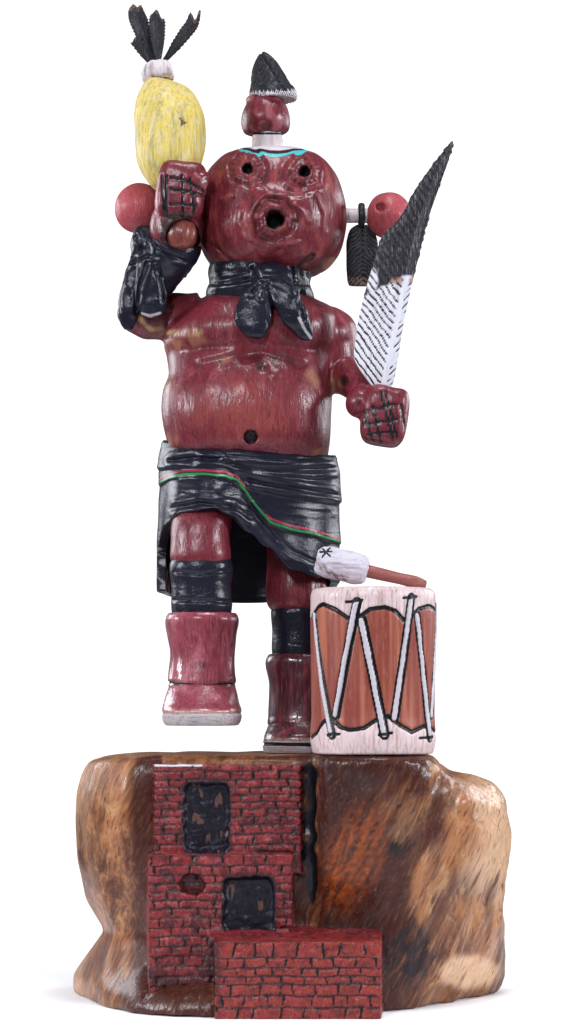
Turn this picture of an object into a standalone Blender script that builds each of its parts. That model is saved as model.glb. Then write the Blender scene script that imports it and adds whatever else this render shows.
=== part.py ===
"""A carved and painted dancer doll with a round masked head, on a block of cottonwood root.

The figure is one carved piece. Its pose and carving are given as shares of its own height, one share
being a hundredth of the height from the sole to the crown. X runs to the viewer's right, the doll
faces -Y and Z is up. The origin is on the underside of the root, below the foot that stands.
"""

import math

import bmesh
import bpy
from mathutils import Matrix, Vector

# Driving dimensions in metres.
GAP = 0.0003
FIGURE_HEIGHT = 0.2255
BASE_HEIGHT = 0.0925
BASE_WIDTH = 0.1660
BASE_DEPTH = 0.1250
UPPER_WALL_WIDTH = 0.0542
UPPER_WALL_DROP = 0.0035
LOWER_WALL_WIDTH = 0.0524
LOWER_WALL_TOP = 0.0570
LOWER_WALL_FOOT = 0.0055
TERRACE_WIDTH = 0.0598
TERRACE_TOP = 0.0270
TERRACE_RISE = 0.0040
TERRACE_STEP = 0.0169
WALL_STEP = 0.0035
WALL_DRAFT = 0.0010
WINDOW_WIDTH = 0.0160
WINDOW_HEIGHT = 0.0240
DOOR_WIDTH = 0.0180
DOOR_HEIGHT = 0.0205
OPENING_DEPTH = 0.0045
DRUM_RADIUS = 0.0227
DRUM_HEIGHT = 0.0600
STICK_RADIUS = 0.0024
STICK_HEAD_RADIUS = 0.0057
STICK_HEAD_LENGTH = 0.0190
STICK_LENGTH = 0.0410
HANDLE_RADIUS = 0.0034
HANDLE_BUTT_RADIUS = 0.0058
COLLAR_RADIUS = 0.0060
COLLAR_HEIGHT = 0.0066
CROWN_PEG_RADIUS = 0.0057
EAR_PEG_RADIUS = 0.0027
EAR_RING_WALL = 0.0014
EAR_RING_WIDTH = 0.0022
PEG_DEPTH = 0.0060
RATTLE_FEATHER_THICKNESS = 0.0013
HAND_FEATHER_THICKNESS = 0.0016
TUFT_THICKNESS = 0.0032
QUILL_RADIUS = 0.0017
QUILL_DEPTH = 0.0113

# Where the pueblo and the drum are, in metres.
WALL_RIGHT = 0.0032
TERRACE_LEFT = -0.0286
DRUM_X = 0.0287
DRUM_SETBACK = 0.0080

# Paints, as colour and roughness.
ROOT_WOOD = ((0.32, 0.17, 0.09), 0.40)
RED = ((0.36, 0.075, 0.065), 0.35)
BLACK = ((0.025, 0.025, 0.035), 0.35)
WHITE = ((0.72, 0.66, 0.62), 0.55)
YELLOW = ((0.78, 0.62, 0.16), 0.50)

ROUND_STEPS = 20
FIGURE_VOXEL = 0.0011
FIGURE_DETAIL = 0.029

SHARE = FIGURE_HEIGHT / 100
UP = Vector((0, 0, 1))
RIGHT = Vector((1, 0, 0))


def spot(x, y, z):
    """A point of the figure, from shares of its height."""
    return Vector((x, y, z)) * SHARE


def between(value, points):
    """Reads a smooth line through (x, y) points at value."""
    if value <= points[0][0]:
        return points[0][1]
    for (x0, y0), (x1, y1) in zip(points, points[1:]):
        if value <= x1:
            share = (value - x0) / (x1 - x0)
            share = share * share * (3 - 2 * share)
            return y0 + (y1 - y0) * share
    return points[-1][1]


def clear_scene():
    for obj in list(bpy.data.objects):
        bpy.data.objects.remove(obj)


def collection(name):
    made = bpy.data.collections.new(name)
    bpy.context.scene.collection.children.link(made)
    return made


def empty(name, group, location):
    made = bpy.data.objects.new(name, None)
    made.location = location
    group.objects.link(made)
    return made


def material(name, colour, roughness):
    made = bpy.data.materials.new(name)
    made.use_nodes = True
    shader = made.node_tree.nodes["Principled BSDF"]
    shader.inputs["Base Color"].default_value = (*colour, 1)
    shader.inputs["Roughness"].default_value = roughness
    shader.inputs["Metallic"].default_value = 0
    return made


class Workshop:
    """The collections and the two places that the pieces are measured from."""

    def __init__(self, name):
        self.parts = collection(name)
        self.cutters = collection("cutters")
        self.figure_cutters = collection("figure_cutters")
        self.ground = empty("ground", self.parts, (0, 0, 0))
        self.standing = empty("standing_point", self.parts, (0, 0, BASE_HEIGHT + GAP))

    def part(self, name, data, look, parent=None):
        """A piece in its own paint, placed from its parent, the standing point unless told."""
        obj = bpy.data.objects.new(name, data)
        obj.parent = parent or self.standing
        self.parts.objects.link(obj)
        data.materials.append(material(f"{name}_paint", *look))
        return obj

    def cutter(self, name, data, parent=None, group=None):
        """A shape that cuts or joins a piece and isn't a piece itself."""
        obj = bpy.data.objects.new(name, data)
        obj.parent = parent or self.standing
        (group or self.cutters).objects.link(obj)
        obj.hide_render = True
        obj.display_type = "WIRE"
        return obj

    def figure_cutter(self, name, data):
        return self.cutter(name, data, group=self.figure_cutters)


def mesh_of(name, bm):
    """Closes off a bmesh as a smooth mesh whose faces point out."""
    bmesh.ops.recalc_face_normals(bm, faces=bm.faces)
    mesh = bpy.data.meshes.new(name)
    bm.to_mesh(mesh)
    bm.free()
    mesh.shade_smooth()
    mesh.set_sharp_from_angle(angle=math.radians(40))
    return mesh


def profile_mesh(name, profile, ring=False):
    """A profile for a Screw modifier: (radius, height) down the outer side, from the top."""
    bm = bmesh.new()
    verts = [bm.verts.new((radius, 0, height)) for radius, height in profile]
    for above, below in zip(verts, verts[1:]):
        bm.edges.new((above, below))
    if ring:
        bm.edges.new((verts[-1], verts[0]))
    mesh = bpy.data.meshes.new(name)
    bm.to_mesh(mesh)
    bm.free()
    return mesh


def turn(obj, steps=ROUND_STEPS):
    """Turns a profile about its own Z axis."""
    screw = obj.modifiers.new("Turn", "SCREW")
    screw.steps = steps
    screw.render_steps = steps
    screw.use_merge_vertices = True
    screw.merge_threshold = 0.00001
    return obj


def place(obj, location, direction=UP):
    """Stands an object at location with its Z axis along direction."""
    obj.location = location
    obj.rotation_mode = "QUATERNION"
    obj.rotation_quaternion = direction.to_track_quat("Z", "Y")
    return obj


def cylinder_mesh(name, radius, length, segments=ROUND_STEPS, top_radius=None):
    """A cylinder or cone standing on its own origin."""
    bm = bmesh.new()
    bmesh.ops.create_cone(
        bm,
        cap_ends=True,
        segments=segments,
        radius1=radius,
        radius2=top_radius or radius,
        depth=length,
        matrix=Matrix.Translation((0, 0, length / 2)),
    )
    return mesh_of(name, bm)


def box_mesh(name, low, high):
    bm = bmesh.new()
    low, high = Vector(low), Vector(high)
    fit = Matrix.Translation((low + high) / 2) @ Matrix.Diagonal((*(high - low), 1))
    bmesh.ops.create_cube(bm, size=1, matrix=fit)
    return mesh_of(name, bm)


def ball_mesh(name, radius, segments=16):
    bm = bmesh.new()
    bmesh.ops.create_uvsphere(bm, u_segments=segments, v_segments=segments // 2, radius=radius)
    return mesh_of(name, bm)


def plate_mesh(name, outline, thickness):
    """A flat plate with an outline of (x, z) points and its faces towards -Y and +Y."""
    curve = bpy.data.curves.new(name, "CURVE")
    curve.dimensions = "2D"
    curve.fill_mode = "BOTH"
    curve.extrude = thickness / 2
    spline = curve.splines.new("POLY")
    spline.points.add(len(outline) - 1)
    for point, (x, z) in zip(spline.points, outline):
        point.co = (x, z, 0, 1)
    spline.use_cyclic_u = True
    flat = bpy.data.objects.new(name, curve)
    flat.rotation_euler.x = math.pi / 2
    bpy.context.scene.collection.objects.link(flat)
    shown = flat.evaluated_get(bpy.context.evaluated_depsgraph_get())
    bm = bmesh.new()
    bm.from_mesh(bpy.data.meshes.new_from_object(shown))
    bmesh.ops.transform(bm, matrix=shown.matrix_world, verts=bm.verts)
    bmesh.ops.remove_doubles(bm, verts=bm.verts, dist=0.00001)
    bpy.data.objects.remove(flat)
    return mesh_of(name, bm)


def boolean(obj, operation, operand):
    """Cuts or joins with an object, or with all of a collection."""
    modifier = obj.modifiers.new(operation.title(), "BOOLEAN")
    modifier.operation = operation
    modifier.solver = "EXACT"
    if isinstance(operand, bpy.types.Collection):
        modifier.operand_type = "COLLECTION"
        modifier.collection = operand
    else:
        modifier.object = operand
    return modifier


def oval(middle, wide, deep, sides, power=2.0):
    """A level ring of points round middle, squarer with a higher power."""
    ring = []
    for k in range(sides):
        angle = math.tau * k / sides
        across, along = math.cos(angle), math.sin(angle)
        size = (abs(across) ** power + abs(along) ** power) ** (1 / power)
        ring.append(middle + Vector((wide * across / size, deep * along / size, 0)))
    return ring


def add_loft(bm, rings):
    """Skins closed rings of equal count, first to last, and caps both ends."""
    rows = [[bm.verts.new(point) for point in ring] for ring in rings]
    for low, high in zip(rows, rows[1:]):
        for i in range(len(low)):
            j = (i + 1) % len(low)
            bm.faces.new((low[i], low[j], high[j], high[i]))
    bm.faces.new(reversed(rows[0]))
    bm.faces.new(rows[-1])


def loft_mesh(name, rings):
    bm = bmesh.new()
    add_loft(bm, rings)
    return mesh_of(name, bm)


# The root block and the pueblo carved into its front.

# Heights of the stations up a root profile, in millimetres, and the same for the low right rim.
ROOT_HEIGHTS = (0, 7, 15, 26, 38, 52, 66, 79, 86.5, 90.5, 92, 92.5)
LOW_RIM_HEIGHTS = (0, 7, 15, 26, 38, 52, 65, 75, 81, 84.2, 85.6, 92.5)
LOW_RIM = ((-46, 0), (-24, 1), (36, 1), (68, 0))
# The rim's fall towards the back, in millimetres.
BACK_FALL = ((-180, 1.2), (-120, 0), (40, 0), (70, 2.0), (150, 2.0), (180, 1.2))
# Reach of the root from the origin, in millimetres, at each of those heights. A bearing of 0 is the
# viewer's right and -90 the front.
ROOT_REACH = (
    (-180, (78, 78, 75, 71, 78.5, 81.5, 82, 81, 79, 77, 74, 62)),
    (-168, (75, 74, 71, 68, 73, 78, 80, 79, 77, 76, 73, 62)),
    (-152, (73, 71, 64, 60, 62, 68, 71, 72, 70.5, 69, 67, 60)),
    (-141, (74, 71, 57, 53, 54, 55, 56, 56, 55.5, 55, 53, 48)),
    (-130, (71, 68, 48, 46, 46, 46, 46, 46, 45, 44.5, 43.5, 40)),
    (-113, (63, 60, 41, 39, 39, 39, 39, 39, 39, 38.5, 37.5, 35)),
    (-98, (50, 47, 38, 36.5, 36.5, 36.5, 36.5, 36.5, 36.5, 36, 35.5, 34)),
    (-88, (40, 38, 36, 35, 34, 34.5, 35, 35, 35, 35, 34.5, 33)),
    (-80, (42, 40, 38, 33, 32, 34, 35, 35.5, 36, 37.5, 38.5, 38)),
    (-73, (44, 44, 42, 36, 38, 44, 48, 51, 53, 54, 53.5, 51.5)),
    (-64, (50, 48, 46, 42, 44, 51, 56, 60, 61.5, 62, 61.5, 59.5)),
    (-52, (51, 51, 51, 49, 51, 58, 63, 65, 66, 66.5, 66, 64.5)),
    (-42, (52, 54, 57, 58, 60, 66, 69, 69.5, 68.5, 67, 65.5, 63)),
    (-20, (54, 58, 63, 66, 68, 74, 76, 76, 72, 66, 58, 54)),
    (0, (63, 68, 73, 78, 78, 80.5, 81, 79, 75.5, 69, 58, 49)),
    (15, (82, 84.5, 84.5, 83, 81, 83, 84, 81, 76.5, 70, 58.5, 48)),
    (32, (84, 85.5, 85, 82, 81, 83, 84, 80, 76, 70, 59, 46)),
    (52, (73, 73, 72, 70, 71, 73, 74, 74, 73, 71, 66, 42)),
    (90, (60, 60.5, 60, 58, 58, 60, 61, 61, 60, 58.5, 55, 28)),
    (125, (76, 76, 74, 71, 72, 74, 75, 75, 74, 73, 69, 38)),
    (150, (94, 94, 89.5, 79, 81, 84, 85, 84, 82, 80, 77, 50)),
    (165, (88, 88, 82, 73, 80, 83.5, 84, 83, 81, 79, 75, 58)),
    (180, (78, 78, 75, 71, 78.5, 81.5, 82, 81, 79, 77, 74, 62)),
)
# The width and the depth, in millimetres, of a block with those reaches, and the share of the depth
# that is in front of the standing foot.
ROOT_SPAN = (166.0, 125.0)
FRONT_SHARE = 0.488
ROOT_SEGMENTS = 48
# The window is measured from the upper wall's right edge, and the door and the smoke hole from the
# lower wall's, in metres.
WINDOW_INSET = 0.0427
DOOR_INSET = 0.0247
SILL = 0.0011
SMOKE_HOLE_INSET = 0.0362
SMOKE_HOLE_DROP = 0.0110
SMOKE_HOLE_RADII = (0.0046, 0.0040, 0.0036)


def root_point(bearing, station):
    """A point of the root's surface at a bearing in degrees and a station of its profiles."""
    angle = math.radians(bearing)
    reach = between(bearing, [(at, radii[station]) for at, radii in ROOT_REACH])
    low = between(bearing, LOW_RIM)
    height = ROOT_HEIGHTS[station] * (1 - low) + LOW_RIM_HEIGHTS[station] * low
    if ROOT_HEIGHTS[station] < ROOT_HEIGHTS[-1]:
        height -= between(bearing, BACK_FALL) * max(0, height / ROOT_HEIGHTS[-1] - 0.8) / 0.2
    return Vector(
        (
            reach * math.cos(angle) * BASE_WIDTH / ROOT_SPAN[0],
            reach * math.sin(angle) * BASE_DEPTH / ROOT_SPAN[1],
            height * BASE_HEIGHT / ROOT_HEIGHTS[-1],
        )
    )


def wall_mesh(name, left, width, bottom, top, front, back, rise=0.0):
    """A wall block whose flanks lean in towards its face and whose top rises to the back."""
    mesh = box_mesh(name, (left, front, bottom), (left + width, back, top))
    for vert in mesh.vertices:
        outward = math.copysign(WALL_DRAFT, vert.co.x - left - width / 2)
        at_front = vert.co.y < (front + back) / 2
        vert.co.x += -outward if at_front else outward
        if vert.co.z > (bottom + top) / 2 and not at_front:
            vert.co.z += rise
    return mesh


def build_base(shop):
    rings = []
    for station in range(len(ROOT_HEIGHTS)):
        bearings = [-180 + 360 * k / ROOT_SEGMENTS for k in range(ROOT_SEGMENTS)]
        rings.append([root_point(bearing, station) for bearing in bearings])
    base = shop.part("base", loft_mesh("base", rings), ROOT_WOOD, shop.ground)

    face = -BASE_DEPTH * FRONT_SHARE
    lower_front = face + TERRACE_STEP
    upper_front = lower_front + WALL_STEP
    heart = 0.2 * face
    lower_right = WALL_RIGHT - WALL_STEP
    walls = (
        wall_mesh(
            "upper_wall",
            WALL_RIGHT - UPPER_WALL_WIDTH,
            UPPER_WALL_WIDTH,
            LOWER_WALL_TOP - 2 * WALL_STEP,
            BASE_HEIGHT - UPPER_WALL_DROP,
            upper_front,
            heart,
        ),
        wall_mesh(
            "lower_wall",
            lower_right - LOWER_WALL_WIDTH,
            LOWER_WALL_WIDTH,
            LOWER_WALL_FOOT,
            LOWER_WALL_TOP,
            lower_front,
            heart,
        ),
        wall_mesh("terrace", TERRACE_LEFT, TERRACE_WIDTH, 0, TERRACE_TOP, face, heart, TERRACE_RISE),
    )
    for mesh in walls:
        boolean(base, "UNION", shop.cutter(mesh.name, mesh, shop.ground))

    window_left = WALL_RIGHT - WINDOW_INSET
    window_sill = LOWER_WALL_TOP + SILL
    door_left = lower_right - DOOR_INSET
    door_sill = TERRACE_TOP + SILL
    cuts = (
        box_mesh(
            "window_cut",
            (window_left, upper_front - OPENING_DEPTH, window_sill),
            (window_left + WINDOW_WIDTH, upper_front + OPENING_DEPTH, window_sill + WINDOW_HEIGHT),
        ),
        box_mesh(
            "door_cut",
            (door_left, lower_front - OPENING_DEPTH, door_sill),
            (door_left + DOOR_WIDTH, lower_front + OPENING_DEPTH, door_sill + DOOR_HEIGHT),
        ),
    )
    for mesh in cuts:
        boolean(base, "DIFFERENCE", shop.cutter(mesh.name, mesh, shop.ground))
    hole = shop.cutter("smoke_hole_cut", ball_mesh("smoke_hole_cut", 1, 14), shop.ground)
    hole.location = (lower_right - SMOKE_HOLE_INSET, lower_front, LOWER_WALL_TOP - SMOKE_HOLE_DROP)
    hole.scale = SMOKE_HOLE_RADII
    boolean(base, "DIFFERENCE", hole)


# The figure, in shares of its height.

HEAD_CENTRE = (-3.75, -0.8)
HEAD_RADII = (12.5, 11.4)
# The head's width by height, as a share of its widest.
HEAD_PROFILE = (
    (79.0, 0.42),
    (79.7, 0.62),
    (81.0, 0.79),
    (82.6, 0.89),
    (84.6, 0.955),
    (87.0, 0.995),
    (89.4, 1.0),
    (91.6, 0.98),
    (93.8, 0.93),
    (96.0, 0.85),
    (97.6, 0.755),
    (98.8, 0.635),
    (99.6, 0.46),
    (100.15, 0.27),
)
# Each mask opening is (place on the face, direction out, ring radius, hole radius).
MASK_OPENINGS = (
    ((-7.5, -9.9, 95.0), (-0.18, -0.95, 0.26), 2.9, 0.95),
    ((1.7, -9.9, 94.7), (0.20, -0.95, 0.24), 2.6, 0.90),
    ((-3.1, -13.4, 85.9), (0, -1, 0.02), 3.1, 1.30),
)
RING_ROOT = 3.2
RING_LIP = 0.3
HOLE_ROOT = 2.2
# The trunk by height: (height, left edge, right edge, front, back).
TRUNK = (
    (43.0, -20.0, 5.0, -9.0, 9.6),
    (48.0, -21.0, 5.6, -10.4, 9.8),
    (51.0, -21.8, 5.9, -11.4, 9.8),
    (54.0, -22.5, 6.1, -12.0, 9.6),
    (57.0, -22.8, 6.3, -12.1, 9.6),
    (60.0, -22.3, 6.2, -11.7, 9.5),
    (62.3, -21.6, 6.2, -10.9, 9.4),
    (64.6, -21.8, 6.6, -9.8, 9.4),
    (66.0, -21.9, 7.0, -9.3, 9.5),
    (67.6, -21.9, 7.4, -10.0, 9.6),
    (70.5, -21.0, 7.6, -10.2, 9.6),
    (72.6, -19.0, 7.2, -9.3, 9.2),
    (74.4, -16.8, 5.4, -8.0, 8.6),
    (75.7, -14.6, 3.0, -6.9, 8.0),
    (78.5, -12.6, 1.4, -6.0, 7.4),
)
# Each ball is (centre, radii, lean about Y in degrees, squareness).
MUZZLE = ((-3.3, -7.8, 86.4), (6.3, 5.2, 6.0), 0, 2.0)
JAW = ((3.6, -1.0, 82.6), (3.9, 6.0, 2.9), -34, 2.0)
RIGHT_SHOULDER = ((-18.4, 0.2, 71.4), (5.0, 5.0, 4.2), 0, 2.0)
LEFT_SHOULDER = ((4.9, 0.2, 69.4), (5.7, 5.2, 4.9), 0, 2.0)
RIGHT_FIST = ((-18.4, -8.6, 91.4), (4.0, 4.6, 4.9), 7, 3.6)
RIGHT_THUMB = ((-15.0, -10.6, 93.2), (1.5, 2.4, 1.3), -20, 2.0)
RIGHT_HEEL = ((-19.2, -7.2, 85.8), (4.3, 4.6, 4.2), 4, 2.6)
LEFT_FIST = ((14.6, -10.0, 54.8), (3.7, 4.0, 4.8), 8, 3.6)
LEFT_THUMB = ((10.6, -9.4, 57.2), (2.2, 3.2, 2.6), 20, 2.0)
SCARF_KNOT = ((-3.6, -8.9, 77.4), (3.3, 2.0, 2.2), 6, 2.0)
WRIST_KNOT = ((-24.4, -5.6, 83.6), (2.3, 2.3, 2.8), 6, 2.0)
BALLS = (
    MUZZLE,
    JAW,
    RIGHT_SHOULDER,
    LEFT_SHOULDER,
    RIGHT_FIST,
    RIGHT_THUMB,
    RIGHT_HEEL,
    LEFT_FIST,
    LEFT_THUMB,
    SCARF_KNOT,
    WRIST_KNOT,
)
# Limbs and cloth ends: stations of (x, y, z, half width, half thickness) along a path.
RAISED_ARM = (
    (-16.0, 0.2, 72.2, 4.2, 4.8),
    (-21.0, 0.0, 72.4, 4.0, 4.2),
    (-25.4, -0.9, 72.9, 3.9, 3.9),
    (-27.6, -1.2, 73.2, 3.0, 3.0),
    (-28.9, -1.4, 73.4, 1.4, 1.4),
)
RAISED_FOREARM = (
    (-25.9, -1.2, 72.6, 3.4, 3.4),
    (-25.2, -1.8, 75.0, 3.8, 3.9),
    (-23.3, -3.4, 78.8, 3.3, 3.6),
    (-21.0, -5.4, 83.0, 3.3, 3.4),
)
LEFT_ARM = (
    (5.6, 0.2, 70.2, 4.8, 4.8),
    (6.4, 0.6, 66.6, 4.5, 4.6),
    (7.2, 0.8, 62.8, 4.0, 4.2),
    (7.8, 0.4, 60.6, 2.6, 2.8),
)
LEFT_FOREARM = (
    (7.2, 0.6, 63.2, 3.2, 3.4),
    (9.4, -3.6, 61.4, 2.8, 2.9),
    (11.6, -7.4, 58.8, 2.7, 2.7),
    (13.2, -9.4, 56.6, 2.8, 2.8),
)
SCARF_LEFT_END = (
    (-4.9, -9.8, 77.0, 1.4, 0.9),
    (-6.2, -10.7, 74.4, 2.2, 0.8),
    (-6.6, -11.2, 71.2, 3.0, 0.8),
    (-6.2, -11.3, 68.8, 2.4, 0.7),
    (-5.9, -11.2, 67.3, 1.0, 0.5),
)
SCARF_RIGHT_END = (
    (-2.6, -9.8, 77.0, 1.9, 0.9),
    (-1.6, -10.6, 74.6, 2.2, 0.8),
    (-0.4, -10.9, 72.0, 2.3, 0.8),
    (1.2, -10.6, 69.4, 1.7, 0.7),
    (2.5, -10.1, 67.4, 0.8, 0.5),
)
WRIST_TIE = (
    (-22.5, -3.6, 78.8, 3.6, 4.0),
    (-21.8, -4.4, 80.2, 4.2, 4.5),
    (-20.6, -5.4, 82.2, 4.6, 4.8),
    (-19.7, -6.0, 83.8, 4.6, 4.6),
)
WRIST_TIE_END = (
    (-24.0, -6.6, 82.0, 1.6, 1.0),
    (-23.7, -7.6, 79.2, 2.1, 0.9),
    (-23.5, -7.8, 76.2, 2.5, 0.9),
    (-23.3, -7.4, 73.2, 2.4, 0.8),
    (-23.2, -7.0, 71.6, 1.4, 0.6),
)
WRIST_TIE_BACK_END = (
    (-25.4, -5.4, 81.6, 1.4, 1.0),
    (-26.4, -5.8, 77.2, 1.7, 0.9),
    (-27.0, -5.6, 73.5, 1.8, 0.9),
    (-27.2, -5.3, 70.9, 1.5, 0.8),
    (-27.2, -5.2, 69.6, 0.9, 0.6),
)
LIMBS = (
    RAISED_ARM,
    RAISED_FOREARM,
    LEFT_ARM,
    LEFT_FOREARM,
    SCARF_LEFT_END,
    SCARF_RIGHT_END,
    WRIST_TIE,
    WRIST_TIE_END,
    WRIST_TIE_BACK_END,
)
# Upright pieces: level sections of (x, y, z, half width, half depth).
SCARF_BAND = (
    (-5.7, 0.2, 74.8, 8.7, 8.4),
    (-5.7, 0.2, 75.8, 9.1, 8.9),
    (-5.7, 0.0, 77.8, 8.5, 8.5),
    (-5.6, 0.0, 79.8, 8.7, 8.7),
    (-5.5, 0.0, 81.4, 8.2, 8.0),
)
RAISED_LEG = (
    (-12.6, -0.5, 47.0, 5.0, 5.6),
    (-13.6, -3.4, 43.0, 5.2, 6.4),
    (-14.8, -6.6, 39.0, 4.9, 6.2),
    (-15.3, -8.2, 35.0, 4.7, 5.4),
    (-15.2, -8.6, 31.0, 4.7, 4.9),
)
RAISED_BAND = (
    (-15.1, -8.5, 31.9, 4.2, 4.2),
    (-15.1, -8.5, 31.3, 4.9, 4.9),
    (-15.1, -8.5, 27.4, 4.9, 4.9),
    (-15.0, -8.4, 22.0, 4.8, 4.8),
)
RAISED_BOOT = (
    (-15.0, -8.4, 22.7, 5.2, 5.2),
    (-15.0, -8.4, 22.2, 5.8, 5.8),
    (-15.0, -8.4, 19.0, 5.6, 5.6),
    (-15.0, -8.5, 15.8, 5.3, 5.3),
    (-15.0, -8.6, 12.4, 5.5, 5.6),
    (-15.0, -8.7, 11.0, 5.5, 5.6),
    (-15.0, -8.8, 10.7, 5.3, 5.4),
)
RAISED_FOOT = (
    (-15.0, -8.8, 11.2, 5.2, 5.3),
    (-15.0, -9.2, 10.3, 5.7, 6.2),
    (-15.0, -10.2, 8.2, 6.1, 7.4),
    (-14.9, -11.0, 6.6, 6.3, 8.2),
    (-14.9, -11.0, 5.1, 6.2, 8.1),
    (-14.9, -11.0, 4.6, 5.7, 7.6),
)
STANDING_LEG = (
    (-1.0, 2.0, 45.0, 5.6, 6.0),
    (0.0, 2.0, 38.0, 5.0, 5.4),
    (0.4, 2.0, 31.0, 4.8, 5.0),
    (0.5, 2.0, 23.6, 4.7, 4.8),
)
STANDING_BAND = (
    (0.8, 2.0, 24.4, 3.9, 4.0),
    (0.8, 2.0, 20.0, 4.4, 4.4),
    (0.8, 2.0, 15.6, 4.4, 4.4),
)
STANDING_BOOT = (
    (0.9, 2.0, 16.2, 4.7, 4.7),
    (0.9, 2.0, 15.7, 5.3, 5.3),
    (0.9, 2.0, 11.0, 5.0, 5.0),
    (0.9, 1.9, 6.0, 5.2, 5.2),
    (0.9, 1.8, 4.2, 5.2, 5.3),
)
STANDING_FOOT = (
    (1.1, 1.6, 4.9, 4.9, 5.4),
    (1.0, 0.9, 3.8, 5.4, 6.4),
    (0.9, 0.4, 2.4, 5.8, 7.2),
    (0.9, 0.4, 1.2, 5.9, 7.4),
    (0.9, 0.4, -0.8, 5.8, 7.3),
)
COLUMNS = (
    SCARF_BAND,
    RAISED_LEG,
    RAISED_BAND,
    RAISED_BOOT,
    RAISED_FOOT,
    STANDING_LEG,
    STANDING_BAND,
    STANDING_BOOT,
    STANDING_FOOT,
)
NAVEL = (-7.2, -11.8, 51.2)
NAVEL_RADII = (0.9, 1.5, 0.75)
# The block under the sole that squares it off.
SOLE_LOW = (-9, -12, -9)
SOLE_HIGH = (12, 14, 0)

# The kilt's hem and waist heights by bearing round the hips: 0 is the front, 90 the viewer's right.
KILT_CENTRE = (-7.3, 0.8)
KILT_RADII = (14.7, 10.6)
KILT_HEM = (
    (-180, 25.2),
    (-128, 26.0),
    (-96, 26.8),
    (-82, 33.0),
    (-66, 37.4),
    (-44, 39.2),
    (-20, 39.8),
    (-8, 38.6),
    (2, 36.2),
    (12, 33.8),
    (30, 30.0),
    (48, 29.0),
    (90, 28.4),
    (128, 26.0),
    (180, 25.2),
)
KILT_WAIST = (
    (-180, 50.6),
    (-90, 51.4),
    (-30, 49.6),
    (10, 48.4),
    (60, 48.8),
    (90, 50.0),
    (180, 50.6),
)
# Its radius as a share of the hip's, by height, and how far the raised thigh pushes it out.
KILT_SWELL = ((24, 1.07), (34, 1.06), (41, 1.04), (46, 1.02), (49, 0.99), (51.5, 0.94))
THIGH_PUSH = ((-75, 0), (-48, 0.9), (-34, 1.0), (-22, 0.9), (4, 0))
THIGH_PUSH_REACH = 4.6
THIGH_PUSH_HEIGHT = ((37, 1.0), (42, 0.85), (48, 0.1), (51, 0))
KILT_SEGMENTS = 48
KILT_ROWS = 9
KILT_WALL = 1.6


def add_ball(bm, centre, radii, lean, power, segments=20):
    """An ellipsoid, squarer with a higher power, leaning about Y by degrees."""
    turned = Matrix.Rotation(math.radians(lean), 4, "Y")
    size = Matrix.Diagonal((*[radius * SHARE for radius in radii], 1))
    fit = Matrix.Translation(spot(*centre)) @ turned @ size
    made = bmesh.ops.create_uvsphere(bm, u_segments=segments, v_segments=segments // 2, radius=1)
    for vert in made["verts"]:
        reach = sum(abs(part) ** power for part in vert.co) ** (1 / power)
        vert.co = fit @ (vert.co / reach)


def add_column(bm, sections, sides=18, power=2.3):
    rings = []
    for x, y, z, wide, deep in sections:
        rings.append(oval(spot(x, y, z), wide * SHARE, deep * SHARE, sides, power))
    add_loft(bm, rings)


def add_limb(bm, stations, sides=14):
    """Skins oval sections square to the path through their centres."""
    centres = [spot(x, y, z) for x, y, z, _, _ in stations]
    level = abs((centres[-1] - centres[0]).normalized().x) > 0.8
    rings = []
    for i, (_, _, _, wide, thick) in enumerate(stations):
        along = (centres[min(i + 1, len(centres) - 1)] - centres[max(i - 1, 0)]).normalized()
        across = UP if level else RIGHT
        across = (across - along * across.dot(along)).normalized()
        axes = Matrix((across, along.cross(across), along)).transposed()
        flat = oval(Vector(), wide * SHARE, thick * SHARE, sides)
        rings.append([centres[i] + axes @ point for point in flat])
    add_loft(bm, rings)


def add_mask_ring(bm, centre, direction, radius, hole):
    """A raised ring round an eye or the mouth: a short cone with a rounded lip."""
    axis = Vector(direction).normalized()
    aim = axis.to_track_quat("Z", "Y").to_matrix()
    foot = spot(*centre) - axis * RING_ROOT * SHARE
    levels = (
        (0, radius * 1.10),
        (RING_ROOT - 0.7, radius * 1.08),
        (RING_ROOT - 0.1, radius),
        (RING_ROOT + RING_LIP, (radius * 1.3 + hole) / 2),
        (RING_ROOT + RING_LIP / 2, hole),
    )
    rings = []
    for along, size in levels:
        flat = oval(Vector((0, 0, along * SHARE)), size * SHARE, size * SHARE, 18)
        rings.append([foot + aim @ point for point in flat])
    add_loft(bm, rings)


def kilt_point(bearing, row):
    """A point of the kilt's outer face, row 0 at its waist."""
    top, hem = between(bearing, KILT_WAIST), between(bearing, KILT_HEM)
    z = top + (hem - top) * row / (KILT_ROWS - 1)
    swell = between(z, KILT_SWELL)
    push = between(bearing, THIGH_PUSH) * between(z, THIGH_PUSH_HEIGHT) * THIGH_PUSH_REACH
    angle = math.radians(bearing)
    x = KILT_CENTRE[0] + KILT_RADII[0] * swell * math.sin(angle)
    y = KILT_CENTRE[1] - KILT_RADII[1] * swell * math.cos(angle) - push
    return spot(x, y, z)


def add_kilt(bm):
    """The wrapped kilt, an open skirt given a wall, whose hem lifts over the raised thigh."""
    bearings = [-180 + 360 * k / KILT_SEGMENTS for k in range(KILT_SEGMENTS)]
    rows = [[bm.verts.new(kilt_point(at, row)) for at in bearings] for row in range(KILT_ROWS)]
    skirt = []
    for high, low in zip(rows, rows[1:]):
        for i in range(KILT_SEGMENTS):
            j = (i + 1) % KILT_SEGMENTS
            skirt.append(bm.faces.new((high[i], low[i], low[j], high[j])))
    bm.normal_update()
    bmesh.ops.solidify(bm, geom=skirt, thickness=KILT_WALL * SHARE)


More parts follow.
